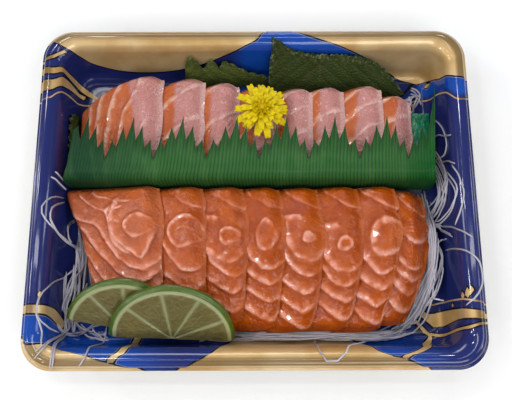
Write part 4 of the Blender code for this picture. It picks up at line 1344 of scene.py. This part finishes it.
def on_wall(around, over, lift):
    """Point at a distance round the rim and over it, raised off the film."""
    profile = np.concatenate([TRAY_SECTION, [(TRAY_SECTION[-1][0] + 30, SHEET)]])
    walk = walked(profile)
    ahead = np.gradient(profile, axis=0)
    ahead /= np.linalg.norm(ahead, axis=1)[:, None]
    slope = [np.interp(over, walk, part) for part in ahead.T]
    inset = np.interp(over, walk, profile[:, 0]) - lift * slope[1]
    height = np.interp(over, walk, profile[:, 1]) + lift * slope[0]
    x, y, _, _ = tray_plan(around, inset)
    over_bed = bed_height(x, y) + 1.2 * (inset > 16)
    return np.stack([x, y, np.maximum(height, over_bed)], axis=1)


# Bundles of shreds: the line that they follow, how many, their spread aside and their rise.
BUNDLES = (
    ([(80, 6), (81.5, -6), (82, -20), (80.5, -34), (77, -45), (72, -53.5), (65, -60), (55, -63)],
     90, 2.1, 3.0),
    ([(83, -18), (83.5, -30), (82, -42), (77.5, -52), (71, -59), (62, -63)], 14, 2.4, 1.6),
    ([(-80, 2), (-80.5, -12), (-80, -26), (-82, -40), (-84.5, -52), (-85.5, -62)], 26, 2.4, 2.6),
    ([(-86, -50), (-82, -58), (-74, -62.5), (-62, -64.5)], 8, 2.4, 1.6),
    ([(-26, -63.5), (0, -63), (30, -62.8), (60, -63), (74, -60)], 70, 1.7, 1.6),
    ([(72, 40), (78, 47), (81, 55), (76, 59)], 10, 2.5, 1.5),
    ([(-70, -40), (-20, 0), (30, -20), (70, 30)], 16, 14, 0.6),
)


BUNDLE_STOPS = 60                     # points along a bundle's line


def sway(shuffle, steps, slow, fast):
    """Wave of a random start and speed."""
    return np.sin(shuffle.uniform(0, 6) + steps * shuffle.uniform(slow, fast))


def bundle(shuffle, line, count, spread, rise):
    """Routes of shreds that drift to and fro along a line over the bed."""
    stops = np.arange(BUNDLE_STOPS)
    line = resampled([(*point, 0) for point in line], BUNDLE_STOPS)[:, :2]
    ahead = np.gradient(line, axis=0)
    aside = np.stack([-ahead[:, 1], ahead[:, 0]], axis=1) / np.linalg.norm(ahead, axis=1)[:, None]
    routes = []
    for _ in range(count):
        length = shuffle.uniform(0.15, 0.5)
        start = shuffle.uniform(0, 1 - length)
        place = np.linspace(start, start + length, STRAND_RINGS + 1) * stops[-1]
        steps = np.linspace(0, 1, STRAND_RINGS + 1)
        drift = shuffle.uniform(-spread, spread) + shuffle.normal(0, 1.5 * spread) * (steps - 0.5)
        drift = drift + 0.5 * shuffle.rand() * sway(shuffle, steps, 3, 9)
        drift = np.clip(drift, -1.35 * spread, 1.35 * spread)
        x, y = (np.interp(place, stops, line[:, axis])
                + drift * np.interp(place, stops, aside[:, axis]) for axis in (0, 1))
        lift = shuffle.uniform(0.2, rise) + 0.8 * sway(shuffle, steps, 2, 6)
        routes.append(np.stack([x, y, bed_height(x, y) + lift], axis=1))
    return routes


def make_radish(looks):
    """Low mat of radish with shreds over it, heaped in the gutters and loose on the walls."""
    mesh, a, b, c = lattice(*MAT_CELLS)
    across, along = 2 * a - 1, 2 * b - 1
    x = MAT_MIDDLE[0] + MAT_HALVES[0] * across * np.sqrt(1 - 0.35 * along ** 4)
    y = MAT_MIDDLE[1] + MAT_HALVES[1] * along * np.sqrt(1 - 0.12 * across ** 4)
    lumps = Unevenness(61)
    top = bed_height(x, y) - 1.0 + 0.35 * lumps(x / 2, y / 2)
    edge = np.minimum(np.minimum(a, 1 - a), np.minimum(b, 1 - b))
    top = BED_LEVEL + (top - BED_LEVEL) * blend(edge, 0, 0.02)
    z = MAT_BOTTOM + c * (np.maximum(top, MAT_LEAST_TOP) - MAT_BOTTOM)
    # The mat is dark lilac grey: painted shade and navy floor between the shreds.
    add_piece("radish_mat", mesh, (x, y, z), radish_finish("radish_mat_painted_shade", looks.mat), "radish",
              "radish_bed", sharp=70)

    shuffle = np.random.RandomState(17)
    routes, radii = [], []
    for line, count, spread, rise in BUNDLES:
        routes += bundle(shuffle, line, count, spread, rise)
        radii += [STRAND * shuffle.uniform(0.7, 1.0) for _ in range(count)]
    for number, spread, line in LOOSE_SHREDS:
        line = resampled(line, STRAND_RINGS + 1)
        steps = np.linspace(0, 1, STRAND_RINGS + 1)
        for _ in range(number):
            aside = shuffle.uniform(-1, 1, 2) + shuffle.normal(0, 0.5, 2) * steps[:, None]
            around, over = (line + spread * aside).T
            lift = LOOSE_STRAND + shuffle.uniform(0, 0.8) * (number > 1)
            routes.append(on_wall(around, over, lift))
            radii.append(LOOSE_STRAND)
    mesh, places = lay_strands(routes, radii)
    add_piece("radish_shreds", mesh, places.T, radish_finish("radish_shred_wet", looks.radish),
              "radish", "radish_bed")


# ---------------------------------------------------------------- stage

BULBS = ((0.5, 0.9, 1.1), (-1.0, 0.15, 1.0), (-0.7, 0.35, 1.15), (-1.25, -0.2, 0.85),
         (-0.85, -0.05, 1.25), (-0.95, -0.5, 0.95), (-0.7, -0.75, 0.9), (-0.6, -0.3, 1.2),
         (-1.1, -0.75, 0.75), (-0.35, 0.55, 1.25), (-0.5, -0.95, 1.0), (-1.25, 0.4, 0.75))


LAMP_TARGET = (0, 0, 0.01)
BULB_SIZE = (0.08, 0.08)
# Soft lamps: name, place, size, the look that sets its power and the share of it.
LAMPS = (
    ("key_front", (0.4, -0.85, 1.1), (0.8, 0.5), "key", 0.6),
    ("key_back", (-0.2, 1.35, 0.8), (0.9, 0.4), "key", 0.36),
    ("key_right", (0.95, -0.1, 0.85), (0.5, 0.5), "key", 0.24),
    ("strip_right_back", (1.05, 0.3, 0.72), (0.12, 0.34), "strip", 0.55),
    ("strip_right_front", (1.0, -0.32, 0.58), (0.1, 0.22), "strip", 0.35),
    ("strip_left_back", (-1.05, 0.3, 0.72), (0.12, 0.34), "strip", 0.55),
    ("strip_left_front", (-1.0, -0.32, 0.58), (0.1, 0.22), "strip", 0.35),
    ("strip_front", (0.0, -1.1, 0.8), (1.0, 0.16), "strip", 0.4),
    ("strip_top", (0.0, 0.22, 1.4), (0.9, 0.07), "strip", 1.2),
    ("strip_back", (0.0, 1.2, 0.72), (0.9, 0.16), "strip", 1.2),
    *((f"bulb_{number}", place, BULB_SIZE, "bulb", 1) for number, place in enumerate(BULBS, 1)),
)
FLOOR_REACH = 2                       # from the middle of the floor to its edge, in metres
ROOM_COLOR = (0.86, 0.9, 1.0, 1)
CAMERA_PLACE, CAMERA_TILT, CAMERA_ROLL = (0.0007, -0.0845, 0.3286), 14.73, -0.19
CAMERA_NEAR = 0.01


def add_lamp(name, place, size, watts):
    data = bpy.data.lights.new(name, "AREA")
    data.shape = "RECTANGLE"
    data.size, data.size_y = size
    data.energy = watts
    lamp = add_object(name, data)
    aim = Vector(place) - Vector(LAMP_TARGET)
    lamp.rotation_euler = aim.to_track_quat("Z", "Y").to_euler()
    lamp.location = place


def make_stage(looks):
    """Pale floor, soft light and the camera."""
    mesh = bpy.data.meshes.new("floor")
    into_mesh(grid(1, 1, FLOOR_REACH), mesh)
    floor = add_object("floor", mesh)
    paper = Finish("floor_paper", Roughness=0.9)
    paper.paint(Base_Color=paper.mix(paper.noise(60), screen(236, 236, 236), screen(240, 240, 240)))
    mesh.materials.append(paper.material)

    for name, place, size, look, share in LAMPS:
        add_lamp(name, place, size, getattr(looks, look) * share)

    world = bpy.data.worlds.new("room")
    bpy.context.scene.world = world
    world.use_nodes = True
    background = world.node_tree.nodes["Background"]
    background.inputs["Color"].default_value = ROOM_COLOR
    background.inputs["Strength"].default_value = looks.fill

    data = bpy.data.cameras.new("camera")
    data.lens = looks.lens
    data.clip_start = CAMERA_NEAR
    camera = add_object("camera", data)
    camera.matrix_world = (Matrix.Translation(CAMERA_PLACE)
                           @ Matrix.Rotation(math.radians(CAMERA_TILT), 4, "X")
                           @ Matrix.Rotation(math.radians(CAMERA_ROLL), 4, "Z"))
    bpy.context.scene.camera = camera
    bpy.context.scene.view_settings.view_transform = "Standard"


# ---------------------------------------------------------------- add-on

def colour(name, description, red, green, blue):
    return FloatVectorProperty(name=name, description=description, subtype="COLOR", size=3, min=0,
                               max=1, default=screen(red, green, blue)[:3])


def amount(name, description, default, unit, least=0):
    return FloatProperty(name=name, description=description, default=default, unit=unit, min=least)


class TrayLooks(bpy.types.PropertyGroup):
    """Colours of the printed film."""
    navy: colour("Navy", "Dark blue of the walls", 32, 40, 98)
    cobalt: colour("Cobalt", "Bright blue of the corners", 20, 70, 160)
    gold: colour("Gold", "Gold of the fields and bands", 186, 148, 88)


class FishLooks(bpy.types.PropertyGroup):
    """Colours of the slices."""
    loin: colour("Loin", "Flesh of the front row", 176, 78, 0)
    # Deep tone of the flesh, also painted as shade in the creases.
    loin_deep_and_crease_shade: colour("Loin creases", "Creases of the front row", 152, 60, 0)
    # Colour of the fat lines, also used for painted light: the pale rims and the sheen of the front
    # slices.
    loin_fat_and_painted_light: colour("Loin fat", "Fat lines of the front row", 224, 152, 128)
    belly: colour("Belly", "Flesh of the back row", 184, 98, 54)
    # Deep tone of the flesh, also painted as shade in the creases.
    belly_deep_and_crease_shade: colour("Belly creases", "Creases of the back row", 168, 82, 44)
    # Colour of the fat lines, also used for the pale rims painted as light on the back slices.
    belly_fat_and_painted_light: colour("Belly fat", "Fat lines of the back row", 210, 160, 138)
    skin: colour("Skin side", "Silver-pink side of the back row", 188, 132, 126)


class GarnishLooks(bpy.types.PropertyGroup):
    """Colours of the garnishes."""
    grass: colour("Grass", "Middle of the divider", 44, 92, 40)
    grass_shade: colour("Grass, shaded end", "Left end of the divider", 16, 60, 34)
    # Paler green of the loose end: painted light coming through the film.
    grass_painted_backlight: colour("Grass, loose end", "Right end of the divider", 0, 78, 18)
    leaf: colour("Leaf", "Shiso leaves", 50, 64, 16)
    # Lighter copy of the leaf colour: painted light on the left leaf, which gets less light.
    leaf_painted_light: colour("Pale leaf", "Shiso leaf at the left", 90, 102, 40)
    petal: colour("Petals", "Tips of the petals", 214, 190, 0)
    # Deeper yellow: painted shade at the petals' feet, also used for random patches.
    petal_deep_and_shade: colour("Petal feet", "Feet of the petals", 190, 158, 4)
    lime_rind: colour("Rind", "Skin of the limes", 52, 76, 0)
    lime_pith: colour("Pith", "Pith and walls of the limes", 158, 164, 118)
    lime_flesh: colour("Lime flesh", "Flesh of the limes", 90, 81, 36)
    emerald: colour("Sachet", "Foil of the sachet", 0, 82, 52)
    radish: colour("Radish", "Shredded radish", 216, 212, 222)
    # Dark lilac grey: painted shade and navy floor between the shreds, not the radish's own colour.
    mat: colour("Radish mat", "Radish under the shreds", 84, 84, 112)


class StageLooks(bpy.types.PropertyGroup):
    """Light and lens."""
    key: amount("Key light", "Power of the overhead light", 11.6, "POWER")
    strip: amount("Strip lights", "Power of each side light", 1.5, "POWER")
    bulb: amount("Bulbs", "Power of each small bulb", 1.0, "POWER")
    fill: amount("Fill", "Strength of the room's light", 0.22, "NONE")
    lens: amount("Lens", "Focal length of the camera", 49.22, "CAMERA", 1)


def part_operator(name, what, make, looks):
    """Operator that makes one piece or a group of like pieces."""
    def execute(self, context):
        make(getattr(context.scene, looks))
        return {"FINISHED"}
    title = name.replace("_", " ").title()
    return type(f"SASHIMI_OT_{name}", (bpy.types.Operator,),
                {"bl_idname": f"sashimi.{name}", "bl_label": f"Make {title}",
                 "__doc__": f"Make the {what}", "execute": execute})


OPERATORS = [
    part_operator("tray", "printed film tray", make_tray, "sashimi_tray"),
    part_operator("front_slices", "front row of salmon", make_front_slices, "sashimi_fish"),
    part_operator("back_slices", "back row of salmon", make_back_slices, "sashimi_fish"),
    part_operator("divider", "toothed film divider", make_divider, "sashimi_garnish"),
    part_operator("leaves", "three shiso leaves", make_leaves, "sashimi_garnish"),
    part_operator("flower", "yellow flower", make_flower, "sashimi_garnish"),
    part_operator("limes", "two half slices of lime", make_limes, "sashimi_garnish"),
    part_operator("sachet", "emerald sachet", make_sachet, "sashimi_garnish"),
    part_operator("radish", "shredded radish", make_radish, "sashimi_garnish"),
    part_operator("stage", "floor, lights and camera", make_stage, "sashimi_stage"),
]
GROUPS = {"sashimi_tray": TrayLooks, "sashimi_fish": FishLooks, "sashimi_garnish": GarnishLooks,
          "sashimi_stage": StageLooks}


class SASHIMI_PT_panel(bpy.types.Panel):
    """Lists the operators in the order in which they are run."""
    bl_label = "Sashimi Tray"
    bl_idname = "SASHIMI_PT_panel"
    bl_space_type = "VIEW_3D"
    bl_region_type = "UI"
    bl_category = "Sashimi"

    def draw(self, context):
        for name, group in GROUPS.items():
            box = self.layout.box()
            for prop in group.__annotations__:
                box.prop(getattr(context.scene, name), prop)
        for operator in OPERATORS:
            self.layout.operator(operator.bl_idname)


def register():
    for item in (*GROUPS.values(), *OPERATORS, SASHIMI_PT_panel):
        bpy.utils.register_class(item)
    for name, group in GROUPS.items():
        setattr(bpy.types.Scene, name, PointerProperty(type=group))


def unregister():
    for name in GROUPS:
        delattr(bpy.types.Scene, name)
    for item in reversed((*GROUPS.values(), *OPERATORS, SASHIMI_PT_panel)):
        bpy.utils.unregister_class(item)


def main():
    register()
    for operator in OPERATORS:
        group, name = operator.bl_idname.split(".")
        getattr(getattr(bpy.ops, group), name)()


if __name__ == "__main__":
    main()
